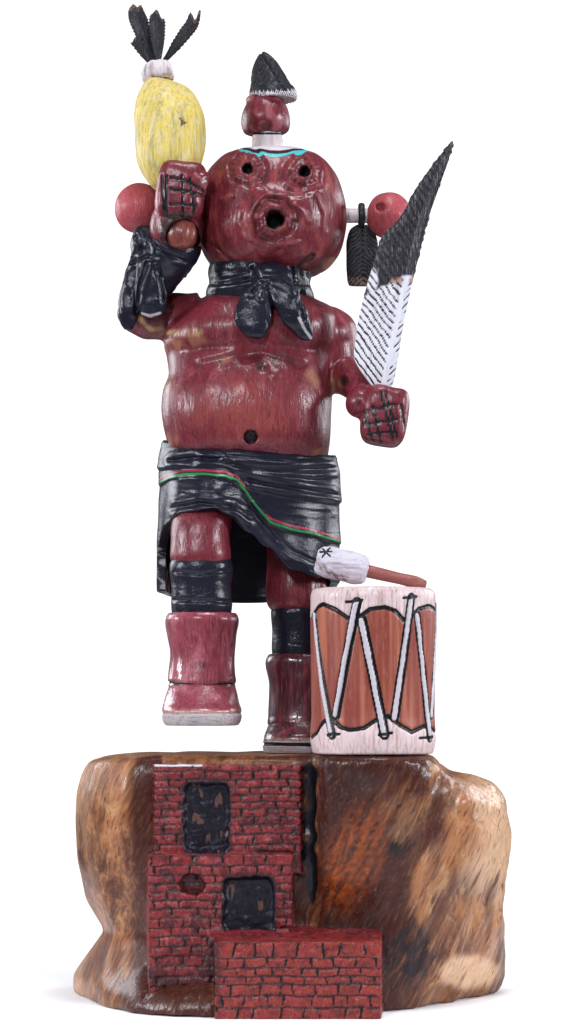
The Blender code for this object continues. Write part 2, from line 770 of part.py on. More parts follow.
def add_head_and_trunk(bm):
    head = []
    for z, share in HEAD_PROFILE:
        head.append((*HEAD_CENTRE, z, HEAD_RADII[0] * share, HEAD_RADII[1] * share))
    add_column(bm, head, 32, 2.15)
    trunk = []
    for z, left, right, front, back in TRUNK:
        middle = ((left + right) / 2, (front + back) / 2, z)
        trunk.append((*middle, (right - left) / 2, (back - front) / 2))
    add_column(bm, trunk, 32, 2.5)
    for opening in MASK_OPENINGS:
        add_mask_ring(bm, *opening)


def build_figure(shop):
    """Joins the carved masses into one skin, then cuts the openings, sockets and sole."""
    bm = bmesh.new()
    add_head_and_trunk(bm)
    for ball in BALLS:
        add_ball(bm, *ball)
    for limb in LIMBS:
        add_limb(bm, limb)
    for column in COLUMNS:
        add_column(bm, column)
    add_kilt(bm)
    figure = shop.part("figure", mesh_of("figure", bm), RED)
    remesh = figure.modifiers.new("Merge", "REMESH")
    remesh.mode = "VOXEL"
    remesh.voxel_size = FIGURE_VOXEL
    remesh.use_smooth_shade = True
    smooth = figure.modifiers.new("Smooth", "SMOOTH")
    smooth.factor = 0.5
    smooth.iterations = 2
    decimate = figure.modifiers.new("Facets", "DECIMATE")
    decimate.ratio = FIGURE_DETAIL

    for i, (centre, direction, _, hole) in enumerate(MASK_OPENINGS):
        axis = Vector(direction).normalized()
        name = f"mask_opening_{i}"
        length = (RING_ROOT + HOLE_ROOT) * SHARE
        mesh = cylinder_mesh(name, hole * 0.9 * SHARE, length, 12, hole * SHARE)
        place(shop.figure_cutter(name, mesh), spot(*centre) - axis * HOLE_ROOT * SHARE, axis)
    navel = shop.figure_cutter("navel_cut", ball_mesh("navel_cut", SHARE, 10))
    navel.location = spot(*NAVEL)
    navel.scale = NAVEL_RADII
    shop.figure_cutter("sole_cut", box_mesh("sole_cut", spot(*SOLE_LOW), spot(*SOLE_HIGH)))
    boolean(figure, "DIFFERENCE", shop.figure_cutters)


# The rattle, in shares of the figure's height.

# The gourd's level sections from its foot up: (height, x, radius).
GOURD = (
    (91.6, -20.2, 1.6),
    (93.2, -20.3, 3.5),
    (95.0, -20.4, 4.55),
    (97.0, -20.4, 5.3),
    (99.6, -20.3, 5.75),
    (102.2, -20.3, 5.85),
    (104.8, -20.4, 5.7),
    (107.4, -20.8, 4.95),
    (109.1, -21.2, 4.05),
    (110.5, -21.8, 2.85),
    (111.3, -22.3, 1.3),
)
# The gourd's foot is this far back, and it leans back as it rises.
GOURD_Y = -7.6
GOURD_LEAN = 0.217
RATTLE_BUTT = (-18.3, -9.6, 84.4)
HANDLE_TOP = (-20.4, -6.86, 95.0)
BUTT_HOLLOW_SHIFT = (-0.27, -0.27, 0.18)
BUTT_HOLLOW_ROOM = 0.6
COLLAR_LEAN = Vector((-0.20, 0.21, 0.957)).normalized()
COLLAR_SINK = 0.22
# The collar's profile from the top down, as shares of its radius and its height.
COLLAR_PROFILE = (
    (0, 0.74),
    (0.63, 0.74),
    (0.71, 1.0),
    (0.86, 0.94),
    (0.98, 0.72),
    (1.0, 0.40),
    (0.93, 0.12),
    (0.74, 0),
    (0, 0),
)
# Each feather is (x and y in the collar, slope to the side, length, half width).
RATTLE_FEATHERS = (
    (-1.06, -0.09, -0.62, 4.9, 0.80),
    (-0.31, 0.80, -0.36, 10.5, 1.40),
    (0.36, -0.18, -0.05, 8.8, 1.25),
    (0.98, 0.53, 0.72, 8.3, 1.05),
)
FEATHER_STALK = 0.9
FEATHER_BACK_LEAN = math.radians(5)
# A feather's half width along its length, as shares.
BLADE = ((0.0, 0.34), (0.16, 0.62), (0.42, 0.96), (0.76, 1.0), (0.92, 0.66))


def gourd_section(index):
    """The middle and the radius of a section of the gourd."""
    z, x, radius = GOURD[index]
    return spot(x, GOURD_Y + GOURD_LEAN * (z - GOURD[0][0]), z), radius * SHARE


def gourd_mesh(name, clearance):
    """The gourd, grown by a clearance."""
    rings = []
    last = len(GOURD) - 1
    for index in range(len(GOURD)):
        middle, radius = gourd_section(index)
        lift = {0: -clearance, last: clearance}.get(index, 0)
        size = radius + clearance
        rings.append(oval(middle + UP * lift, size, size, ROUND_STEPS))
    return loft_mesh(name, rings)


def build_rattle(shop):
    """The gourd on its handle, and the seat that the fist gives it."""
    butt = spot(*RATTLE_BUTT)
    handle = spot(*HANDLE_TOP) - butt
    rattle = shop.part("gourd_rattle", gourd_mesh("gourd_rattle", 0), YELLOW)
    rod = cylinder_mesh("rattle_handle", HANDLE_RADIUS, handle.length, 14)
    boolean(rattle, "UNION", place(shop.cutter("rattle_handle", rod), butt, handle))
    knob = shop.cutter("rattle_butt", ball_mesh("rattle_butt", HANDLE_BUTT_RADIUS, 14))
    boolean(rattle, "UNION", place(knob, butt))

    shop.figure_cutter("gourd_seat", gourd_mesh("gourd_seat", GAP))
    bore = cylinder_mesh("handle_socket", HANDLE_RADIUS + GAP, handle.length, 14)
    place(shop.figure_cutter("handle_socket", bore), butt, handle)
    hollow = ball_mesh("butt_hollow", HANDLE_BUTT_RADIUS + BUTT_HOLLOW_ROOM * SHARE + GAP, 14)
    place(shop.figure_cutter("butt_hollow", hollow), butt + spot(*BUTT_HOLLOW_SHIFT))


def build_rattle_collar(shop):
    """The white collar on the gourd's top, with the feathers that stand in it."""
    foot = gourd_section(-1)[0] - COLLAR_LEAN * COLLAR_HEIGHT * COLLAR_SINK
    profile = [(radius * COLLAR_RADIUS, up * COLLAR_HEIGHT) for radius, up in COLLAR_PROFILE]
    collar = turn(shop.part("rattle_collar", profile_mesh("rattle_collar", profile), WHITE), 18)
    place(collar, foot, COLLAR_LEAN)
    boolean(collar, "DIFFERENCE", shop.cutter("collar_seat", gourd_mesh("collar_seat", GAP)))

    cup = foot + COLLAR_LEAN * (COLLAR_HEIGHT * COLLAR_PROFILE[0][1] + 2 * GAP)
    for number, (x, y, slope, length, half) in enumerate(RATTLE_FEATHERS, 1):
        name = f"rattle_feather_{number}"
        root = BLADE[0][1] * half
        left, right = [(-root, 0)], [(root, 0)]
        for up, wide in BLADE:
            middle, height = slope * up * length, FEATHER_STALK + up * length
            left.append((middle - wide * half, height))
            right.append((middle + wide * half, height))
        tip = (slope * length, FEATHER_STALK + length)
        outline = [(x * SHARE, z * SHARE) for x, z in [*right, tip, *reversed(left)]]
        mesh = plate_mesh(name, outline, RATTLE_FEATHER_THICKNESS)
        feather = shop.part(name, mesh, BLACK)
        floor = -(x * COLLAR_LEAN.x + y * COLLAR_LEAN.y) / COLLAR_LEAN.z
        feather.location = cup + spot(x, y, floor)
        feather.rotation_euler.x = -FEATHER_BACK_LEAN


# The ears, the topknot and the long feather.

# Each ear: (side, head surface, height, ball's place, ball's radius, tuft's place, half width,
# drop, sway to the back).
EARS = {
    "right_ear": (-1, -15.6, 90.5, -25.6, 4.17, -19.8, 2.13, 10.4, 2.5),
    "left_ear": (1, 9.0, 89.3, 15.8, 3.77, 11.4, 2.60, 10.9, 0.0),
}
EAR_Y = 0.4
EAR_SOCKET_REACH = 4.0
# The tuft's outline, as (share of the drop, share of the half width).
TUFT = ((0.0, 0.28), (0.16, 0.72), (0.45, 1.0), (0.80, 0.97), (0.96, 0.80), (1.0, 0.45))


def build_ear(shop, name):
    """A red ball on a peg, and the feather tuft whose ring sits on the peg."""
    side, head_x, z, ball_x, ball_radius, tuft_x, tuft_half, drop, sway = EARS[name]
    axis = RIGHT * side
    inner = spot(head_x, EAR_Y, z) - axis * PEG_DEPTH
    reach = abs(ball_x - head_x) * SHARE + PEG_DEPTH
    ball = ball_radius * SHARE
    neck = math.pi - math.asin(EAR_PEG_RADIUS / ball)
    steps = ROUND_STEPS // 2
    profile = []
    for step in range(steps):
        angle = neck * step / (steps - 1)
        profile.append((ball * math.sin(angle), reach + ball * math.cos(angle)))
    profile += [(EAR_PEG_RADIUS, 0), (0, 0)]
    knob = shop.part(f"{name}_knob", profile_mesh(f"{name}_knob", profile), RED)
    place(turn(knob, 18), inner, axis)
    bore = cylinder_mesh(f"{name}_socket", EAR_PEG_RADIUS + GAP, PEG_DEPTH + EAR_SOCKET_REACH * SHARE)
    place(shop.figure_cutter(f"{name}_socket", bore), inner - axis * GAP, axis)

    hole = EAR_PEG_RADIUS + GAP
    ring = hole + EAR_RING_WALL
    half = EAR_RING_WIDTH / 2
    profile = ((ring, half), (ring, -half), (hole, -half), (hole, half))
    mesh = profile_mesh(f"{name}_feather", profile, ring=True)
    tuft = turn(shop.part(f"{name}_feather", mesh, BLACK), 18)
    centre = inner + axis * (reach - ball - half - 2 * GAP)
    place(tuft, centre, axis)
    right_edge = [(wide * tuft_half * SHARE, -down * drop * SHARE) for down, wide in TUFT]
    left_edge = [(-x, z) for x, z in reversed(right_edge)]
    mesh = plate_mesh(f"{name}_fan", [*right_edge, *left_edge], TUFT_THICKNESS)
    fan = shop.cutter(f"{name}_fan", mesh)
    fan.location = centre - UP * (hole + EAR_RING_WALL / 2)
    fan.rotation_euler.x = math.atan2(sway, drop)
    fan.rotation_euler.y = math.atan2(centre.x - tuft_x * SHARE, drop * SHARE)
    boolean(tuft, "UNION", fan)


CROWN = (-4.3, 0.0, 100.3)
CROWN_LEAN = Vector((-0.07, 0, 1)).normalized()
CROWN_PEG_SHOW = 2.5
# The topknot over its peg from the top down: (radius in peg radii, height).
TOPKNOT = ((0, 6.4), (1.18, 6.4), (1.26, 5.2), (1.46, 4.0), (1.60, 2.4), (1.50, 1.0), (1.26, 0.1))
# The cap's sections: (height over the knob's top, sideways bend, half width, half depth).
CROWN_CAP = (
    (-0.6, 1.5, 3.9, 3.7),
    (0.35, 1.5, 4.0, 3.65),
    (2.2, 1.0, 3.3, 2.85),
    (4.2, 0.5, 2.55, 2.1),
    (6.0, 0.2, 1.7, 1.4),
    (7.2, -0.1, 0.55, 0.55),
)


def topknot_profile(clearance):
    """The knob and its peg from the top down, grown by a clearance."""
    peg_end = PEG_DEPTH + CROWN_PEG_SHOW * SHARE
    profile = []
    for radius, height in TOPKNOT:
        grown = radius * CROWN_PEG_RADIUS + clearance if radius else 0
        profile.append((grown, peg_end + height * SHARE + clearance))
    peg = CROWN_PEG_RADIUS + clearance
    return [*profile, (peg, peg_end), (peg, 0), (0, 0)]


def build_crown(shop):
    """The topknot on its peg, and the feather tuft that caps it."""
    foot = spot(*CROWN) - CROWN_LEAN * PEG_DEPTH
    knob = shop.part("crown_knob", profile_mesh("crown_knob", topknot_profile(0)), RED)
    place(turn(knob), foot, CROWN_LEAN)
    bore = cylinder_mesh("crown_socket", CROWN_PEG_RADIUS + GAP, 2 * PEG_DEPTH)
    place(shop.figure_cutter("crown_socket", bore), foot - CROWN_LEAN * GAP, CROWN_LEAN)

    top = foot + CROWN_LEAN * (PEG_DEPTH + (CROWN_PEG_SHOW + TOPKNOT[0][1]) * SHARE)
    rings = []
    for height, bend, wide, deep in CROWN_CAP:
        rings.append(oval(top + spot(bend, 0, height), wide * SHARE, deep * SHARE, 16))
    cap = shop.part("crown_feather", loft_mesh("crown_feather", rings), BLACK)
    seat = shop.cutter("crown_seat", profile_mesh("crown_seat", topknot_profile(GAP)))
    place(turn(seat), foot, CROWN_LEAN)
    boolean(cap, "DIFFERENCE", seat)


FEATHER_GRIP = (14.8, -10.0, 58.8)
# The long feather's edges over that grip: (height, left edge, right edge).
HAND_FEATHER = (
    (0.0, -1.3, 0.8),
    (3.0, -3.8, 1.8),
    (5.0, -4.9, 2.1),
    (9.0, -4.7, 2.7),
    (16.5, -3.2, 4.2),
    (25.2, -0.4, 6.3),
    (27.3, 1.7, 6.8),
    (34.0, 5.6, 9.1),
    (40.4, 10.2, 11.0),
)


def build_hand_feather(shop):
    """The long feather, and the quill that goes down into the fist."""
    grip = spot(*FEATHER_GRIP)
    left = [(edge * SHARE, height * SHARE) for height, edge, _ in HAND_FEATHER]
    right = [(edge * SHARE, height * SHARE) for height, _, edge in HAND_FEATHER]
    outline = [*right, *reversed(left)]
    mesh = plate_mesh("hand_feather", outline, HAND_FEATHER_THICKNESS)
    feather = shop.part("hand_feather", mesh, BLACK)
    feather.location = grip
    overlap = 3 * QUILL_RADIUS
    quill = shop.cutter("quill", cylinder_mesh("quill", QUILL_RADIUS, QUILL_DEPTH + overlap, 12))
    quill.location = grip - UP * QUILL_DEPTH
    boolean(feather, "UNION", quill)

    bore = cylinder_mesh("quill_socket", QUILL_RADIUS + GAP, QUILL_DEPTH + overlap + 2 * GAP, 12)
    socket = shop.figure_cutter("quill_socket", bore)
    socket.location = grip - UP * (QUILL_DEPTH + GAP)
    slot_mesh = plate_mesh("vane_slot", outline, HAND_FEATHER_THICKNESS + 2 * GAP)
    slot = shop.figure_cutter("vane_slot", slot_mesh)
    slot.location = grip - UP * 2 * GAP


# The drum's profile from the top down: (share of its radius, share of its height).
DRUM_PROFILE = (
    (0, 1.0),
    (0.945, 1.0),
    (0.985, 0.972),
    (1.0, 0.90),
    (0.995, 0.60),
    (0.985, 0.25),
    (0.975, 0.012),
    (0.955, 0),
    (0, 0),
)
# The stick's padded head and its shaft from the top down: (share of radius, share of length).
STICK_HEAD = ((0, 1.0), (0.55, 1.0), (0.84, 0.96), (0.98, 0.82), (1.0, 0.35), (0.94, 0.09), (0.74, 0))
STICK_SHAFT = ((1.0, 0.99), (0.88, 0.5), (0.64, 0.05), (0.45, 0), (0, 0))
# Where the stick's thin end lies on the drum, in drum radii, and its slope in degrees.
STICK_END = (0.87, 0.13)
STICK_SLOPE = 13.0


def build_drum(shop):
    """The drum, a carved log with rounded rims, and the padded stick that lies on it."""
    profile = [(radius * DRUM_RADIUS, up * DRUM_HEIGHT) for radius, up in DRUM_PROFILE]
    drum = turn(shop.part("drum", profile_mesh("drum", profile), WHITE), 32)
    drum.location = (DRUM_X, -BASE_DEPTH * FRONT_SHARE + DRUM_SETBACK + DRUM_RADIUS, 0)

    neck = STICK_LENGTH - STICK_HEAD_LENGTH
    profile = []
    for radius, up in STICK_HEAD:
        profile.append((radius * STICK_HEAD_RADIUS, neck + up * STICK_HEAD_LENGTH))
    for radius, up in STICK_SHAFT:
        profile.append((radius * STICK_RADIUS, up * neck))
    stick = turn(shop.part("drumstick", profile_mesh("drumstick", profile), WHITE), 18)
    slope = math.radians(STICK_SLOPE)
    end = Vector((*STICK_END, 0)) * DRUM_RADIUS
    lift = DRUM_HEIGHT + GAP + STICK_RADIUS * STICK_SHAFT[2][0]
    place(stick, drum.location + end + UP * lift, Vector((-math.cos(slope), 0, math.sin(slope))))


def main():
    clear_scene()
    shop = Workshop("kachina_doll")
    build_base(shop)
    build_rattle(shop)
    build_rattle_collar(shop)
    for name in EARS:
        build_ear(shop, name)
    build_crown(shop)
    build_hand_feather(shop)
    build_figure(shop)
    build_drum(shop)


main()
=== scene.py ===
"""Dresses the carved dancer doll: every visible surface in its carved detail and old paint.

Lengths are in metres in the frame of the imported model. The figure's own places are given in shares of
its height, as its carving is, and carved or painted lines are given where the photograph shows them.
"""

from __future__ import annotations

import logging
import math
from dataclasses import dataclass
from enum import Enum
from functools import reduce
from typing import Callable, Iterable, Sequence

import bpy
import numpy as np
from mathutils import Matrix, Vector


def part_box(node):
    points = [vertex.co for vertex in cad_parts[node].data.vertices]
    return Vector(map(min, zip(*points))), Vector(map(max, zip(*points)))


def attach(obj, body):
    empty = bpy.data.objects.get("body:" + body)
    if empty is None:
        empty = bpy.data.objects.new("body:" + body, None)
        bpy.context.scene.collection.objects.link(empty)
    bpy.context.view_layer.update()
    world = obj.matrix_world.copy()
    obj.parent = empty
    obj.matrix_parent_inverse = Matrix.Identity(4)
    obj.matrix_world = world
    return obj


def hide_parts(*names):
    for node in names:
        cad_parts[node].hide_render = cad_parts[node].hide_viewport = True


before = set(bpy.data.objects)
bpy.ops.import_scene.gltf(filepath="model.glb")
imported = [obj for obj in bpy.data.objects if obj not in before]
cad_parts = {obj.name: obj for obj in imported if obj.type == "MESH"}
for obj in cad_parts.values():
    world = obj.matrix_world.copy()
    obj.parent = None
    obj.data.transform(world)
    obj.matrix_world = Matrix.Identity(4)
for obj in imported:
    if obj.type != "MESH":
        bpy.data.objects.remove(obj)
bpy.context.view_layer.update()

LOG = logging.getLogger("doll")
Array = np.ndarray
Piece = bpy.types.Object
Socket = bpy.types.NodeSocket
Pair = tuple[float, float]
Place = tuple[float, float, float]
Oval = tuple[float, float, float, float]
Colour = Place
Points = Sequence[tuple[float, ...]]
Lines = tuple[Points, ...]

# The camera stands a metre before the doll; one pixel of the photograph is this large there.
CAMERA_PLACE = (-0.0022, -1.0, 0.1124)
PIXEL = 0.000375
PHOTO_MIDDLE = 288.0
PHOTO_HORIZON = 700.0
FRAME_SIZE = (576, 1024)
SENSOR = 36.0

FIGURE_LOW, FIGURE_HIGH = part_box("figure")
TOP_SHARE = 100.15
SHARE = (FIGURE_HIGH.z - FIGURE_LOW.z) / TOP_SHARE
STAND = np.array((0.0, 0.0, FIGURE_LOW.z))
MM = 0.001


class Grain(Enum):
    """Which way the wood's grain runs, as the scale of a pattern along X, Y and Z."""

    UPRIGHT = (1.0, 1.0, 0.1)
    LEVEL = (0.1, 1.0, 1.0)
    EVEN = (1.0, 1.0, 1.0)
    SLANTED = (1.0, 1.0, 0.16)


def smooth(value: Array | float, none: float | Array, full: float | Array) -> Array:
    """Runs smoothly from 0 to 1, up or down.

    Args:
        value: Where to read it.
        none: The value up to which it is 0.
        full: The value from which it is 1; it may be the lower of the two.

    Returns:
        The share, from 0 to 1.
    """
    share = np.clip((np.asarray(value, float) - none) / (full - none), 0, 1)
    return share * share * (3 - 2 * share)


def most(*values: Array | float) -> Array:
    """The largest of several values at each point."""
    return reduce(np.maximum, values)


def hump(value: Array, middle: float | Array, half: float) -> Array:
    """A rounded ridge: 1 at middle and 0 from half away."""
    return np.clip(1 - ((value - middle) / half) ** 2, 0, 1) ** 1.5


def between(value: Array, points: Points) -> Array:
    """Reads a line through (x, y) points with smooth steps between them.

    Args:
        value: Where to read it.
        points: The line's points, by rising x.

    Returns:
        Its heights.
    """
    value = np.asarray(value, float)
    xs, ys = np.array(points, float).T
    index = np.clip(np.searchsorted(xs, value, side="right") - 1, 0, len(xs) - 2)
    share = np.clip((value - xs[index]) / (xs[index + 1] - xs[index]), 0, 1)
    share = share * share * (3 - 2 * share)
    return ys[index] + (ys[index + 1] - ys[index]) * share


def through(table: Points, count: int) -> Array:
    """Runs a smooth curve through the rows of a table.

    Args:
        table: Its rows.
        count: How many rows to make of them, evenly spaced.

    Returns:
        The new rows.
    """
    rows = np.array(table, float)
    at = np.concatenate([[0], np.cumsum(np.linalg.norm(np.diff(rows, axis=0), axis=1))])
    slopes = np.gradient(rows, at, axis=0)
    where = np.linspace(0, at[-1], count)
    index = np.clip(np.searchsorted(at, where, side="right") - 1, 0, len(at) - 2)
    span = (at[index + 1] - at[index])[:, None]
    t = (where - at[index])[:, None] / span
    start, end = rows[index], rows[index + 1]
    return (
        (2 * t**3 - 3 * t**2 + 1) * start
        + (t**3 - 2 * t**2 + t) * span * slopes[index]
        + (3 * t**2 - 2 * t**3) * end
        + (t**3 - t**2) * span * slopes[index + 1]
    )


def ripple(at: Array, size: float | Sequence[float], seed: int, waves: int = 12) -> Array:
    """A soft irregular pattern, the same each run.

    Args:
        at: Places, as rows of x, y, z.
        size: How large its lumps are, along each axis or the same along all.
        seed: Which pattern.
        waves: How many waves it sums.

    Returns:
        Values of about -1 to 1.
    """
    rng = np.random.default_rng(seed)
    total = np.zeros(len(at))
    scaled = at / np.asarray(size, float)
    for _ in range(waves):
        direction = rng.normal(size=3)
        direction *= rng.uniform(0.6, 1.5) / np.linalg.norm(direction)
        total += np.sin(math.tau * (scaled @ direction + rng.uniform()))
    return total / math.sqrt(waves) / 1.4


def distance_to(px: Array, py: Array, line: Points) -> Array:
    """How far each seen place is from a line of the photograph.

    Args:
        px: Places across, in pixels.
        py: Places down, in pixels.
        line: The line's points.

    Returns:
        Distances in pixels.
    """
    nearest = np.full(len(px), 1e9)
    for (x0, y0), (x1, y1) in zip(line, line[1:]):
        run = (x1 - x0) ** 2 + (y1 - y0) ** 2
        t = np.clip(((px - x0) * (x1 - x0) + (py - y0) * (y1 - y0)) / max(run, 1e-9), 0, 1)
        nearest = np.minimum(nearest, np.hypot(px - x0 - t * (x1 - x0), py - y0 - t * (y1 - y0)))
    return nearest


def stroke(px: Array, py: Array, line: Points, half: float) -> Array:
    """A rounded ridge along a line of the photograph, 0 from half pixels away."""
    return hump(distance_to(px, py, line), 0, half)


def lines_mask(px: Array, py: Array, lines: Iterable[Points], half: float) -> Array:
    """1 on any of the lines, falling to 0 at half a width away.

    Args:
        px: Places across, in pixels.
        py: Places down, in pixels.
        lines: The lines.
        half: Half their width, in pixels.

    Returns:
        The mask.
    """
    mask = np.zeros(len(px))
    for line in lines:
        mask = most(mask, smooth(distance_to(px, py, line), half, half * 0.45))
    return mask


def spot(x: float, y: float, z: float) -> Array:
    """A point of the figure, from shares of its height."""
    return STAND + np.array((x, y, z)) * SHARE


def level_rings(table: Points, count: int, sides: int, power: float = 2.2) -> Array:
    """Level oval rings through sections of the figure.

    Args:
        table: Sections of (x, y, z, half width, half depth), in shares.
        count: How many rings.
        sides: Points in each.
        power: Their squareness; 2 is round.

    Returns:
        The rings' points.
    """
    rows = through(table, count)
    angle = np.linspace(0, math.tau, sides, endpoint=False)
    reach = (np.abs(np.cos(angle)) ** power + np.abs(np.sin(angle)) ** power) ** (-1 / power)
    rings = np.empty((count, sides, 3))
    rings[..., 0] = rows[:, 0:1] + rows[:, 3:4] * (np.cos(angle) * reach)
    rings[..., 1] = rows[:, 1:2] + rows[:, 4:5] * (np.sin(angle) * reach)
    rings[..., 2] = rows[:, 2:3]
    return STAND + rings * SHARE


def path_rings(table: Points, count: int, sides: int, wide: Sequence[float] = (1, 0, 0)) -> Array:
    """Oval rings square to the path through sections of the figure.

    Args:
        table: Sections of (x, y, z, half width, half thickness), in shares.
        count: How many rings.
        sides: Points in each.
        wide: The direction nearest to which the width lies.

    Returns:
        The rings' points.
    """
    rows = through(table, count)
    centres = rows[:, :3]
    along = np.gradient(centres, axis=0)
    along /= np.linalg.norm(along, axis=1)[:, None]
    across = np.array(wide, float) - along * (along @ np.array(wide, float))[:, None]
    across /= np.linalg.norm(across, axis=1)[:, None]
    other = np.cross(along, across)
    angle = np.linspace(0, math.tau, sides, endpoint=False)
    rings = (
        centres[:, None]
        + across[:, None] * (rows[:, 3:4] * np.cos(angle))[..., None]
        + other[:, None] * (rows[:, 4:5] * np.sin(angle))[..., None]
    )
    return STAND + rings * SHARE


def turned_rings(profile: Points, foot: Array, axis: Sequence[float], count: int, sides: int) -> Array:
    """Round rings of a turned piece.

    Args:
        profile: Its (distance along the axis, radius) points, in metres.
        foot: Where the axis starts.
        axis: Its direction.
        count: How many rings.
        sides: Points in each.

    Returns:
        The rings' points.
    """
    rows = through(profile, count)
    along = Vector(axis).normalized()
    frame_of = np.array(along.to_track_quat("Z", "Y").to_matrix())
    angle = np.linspace(0, math.tau, sides, endpoint=False)
    flat = np.empty((count, sides, 3))
    flat[..., 0] = rows[:, 1:2] * np.cos(angle)
    flat[..., 1] = rows[:, 1:2] * np.sin(angle)
    flat[..., 2] = rows[:, 0:1]
    return foot + flat @ frame_of.T


def oval(px: Array, py: Array, place: Oval, none: float, full: float) -> Array:
    """A soft oval patch of the photograph.

    Args:
        px: Places across, in pixels.
        py: Places down, in pixels.
        place: Its middle, across and down, and its half sizes.
        none: The share of its size from which it is 0.
        full: The share up to which it is 1.

    Returns:
        The patch.
    """
    x, y, wide, high = place
    return smooth(np.hypot((px - x) / wide, (py - y) / high), none, full)


def scaled(profile: Points, long: float, wide: float, start: float = 0.0) -> list[Pair]:
    """A turned profile in metres, from one in shares of a length and a radius."""
    return [(start + up * long, share * wide) for up, share in profile]


def deselect() -> None:
    """Leaves nothing selected, in object mode."""
    if bpy.context.object and bpy.context.object.mode != "OBJECT":
        bpy.ops.object.mode_set(mode="OBJECT")
    bpy.ops.object.select_all(action="DESELECT")


def make_active(piece: Piece) -> None:
    """Selects one piece alone and makes it active."""
    deselect()
    piece.select_set(True)
    bpy.context.view_layer.objects.active = piece


def close_up(piece: Piece, ends: bool) -> None:
    """Welds a rolled sheet's seam, closes its ends if asked and points its faces out.

    Args:
        piece: The sheet.
        ends: Whether its ends are closed.
    """
    make_active(piece)
    bpy.ops.object.mode_set(mode="EDIT")
    bpy.ops.mesh.select_all(action="SELECT")
    bpy.ops.mesh.remove_doubles(threshold=0.000002)
    if ends:
        bpy.ops.mesh.fill_holes(sides=0)
    bpy.ops.mesh.normals_make_consistent(inside=False)
    bpy.ops.object.mode_set(mode="OBJECT")


def roll(name: str, rings: Array, ends: bool = True) -> Piece:
    """Rolls a grid into the skin that runs through a stack of rings.

    Args:
        name: The piece's name.
        rings: The rings' points, first to last.
        ends: Whether both ends are closed.

    Returns:
        The new piece.
    """
    count, sides = rings.shape[:2]
    deselect()
    bpy.ops.mesh.primitive_grid_add(x_subdivisions=sides, y_subdivisions=count - 1, size=1)
    piece = bpy.context.object
    piece.name = name
    points = np.concatenate([rings, rings[:, :1]], axis=1)
    piece.data.vertices.foreach_set("co", points.reshape(-1))
    piece.data.update()
    close_up(piece, ends)
    return piece


def ball(name: str, centre: Sequence[float], radii: Sequence[float], lean: float = 0.0,
         power: float = 2.0, segments: int = 64) -> Piece:
    """A rounded block of the figure, shaped from a sphere.

    Args:
        name: Its name.
        centre: Its middle, in shares.
        radii: Its half sizes, in shares.
        lean: How far it leans about Y, in degrees.
        power: Its squareness; 2 is round.
        segments: How fine it is.

    Returns:
        The new piece.
    """
    deselect()
    bpy.ops.mesh.primitive_uv_sphere_add(segments=segments, ring_count=segments // 2, radius=1)
    piece = bpy.context.object
    piece.name = name
    skin = Carving(piece)
    reach = (np.abs(skin.at) ** power).sum(axis=1) ** (1 / power)
    shaped = skin.at / reach[:, None] * np.array(radii)
    turn = math.radians(lean)
    x, z = shaped[:, 0].copy(), shaped[:, 2].copy()
    shaped[:, 0] = x * math.cos(turn) + z * math.sin(turn)
    shaped[:, 2] = z * math.cos(turn) - x * math.sin(turn)
    skin.at = spot(*centre) + shaped * SHARE
    skin.save()
    return piece


def apply_modifier(piece: Piece, kind: str, **settings: object) -> None:
    """Adds one modifier and applies it.

    Args:
        piece: The piece that it works on.
        kind: The modifier's type.
        **settings: Its values.
    """
    make_active(piece)
    modifier = piece.modifiers.new(kind.title(), kind)
    for key, value in settings.items():
        setattr(modifier, key, value)
    bpy.ops.object.modifier_apply(modifier=modifier.name)


def merge(name: str, pieces: Sequence[Piece], voxel: float, rounds: int = 3) -> Piece:
    """Joins overlapping masses into one even skin.

    Args:
        name: The joined piece's name.
        pieces: The masses.
        voxel: The skin's fineness.
        rounds: How often it is smoothed.

    Returns:
        The joined piece.
    """
    make_active(pieces[0])
    for piece in pieces[1:]:
        piece.select_set(True)
    if len(pieces) > 1:
        bpy.ops.object.join()
    piece = pieces[0]
    piece.name = name
    apply_modifier(piece, "REMESH", mode="VOXEL", voxel_size=voxel)
    if rounds:
        apply_modifier(piece, "SMOOTH", factor=0.5, iterations=rounds)
    return piece


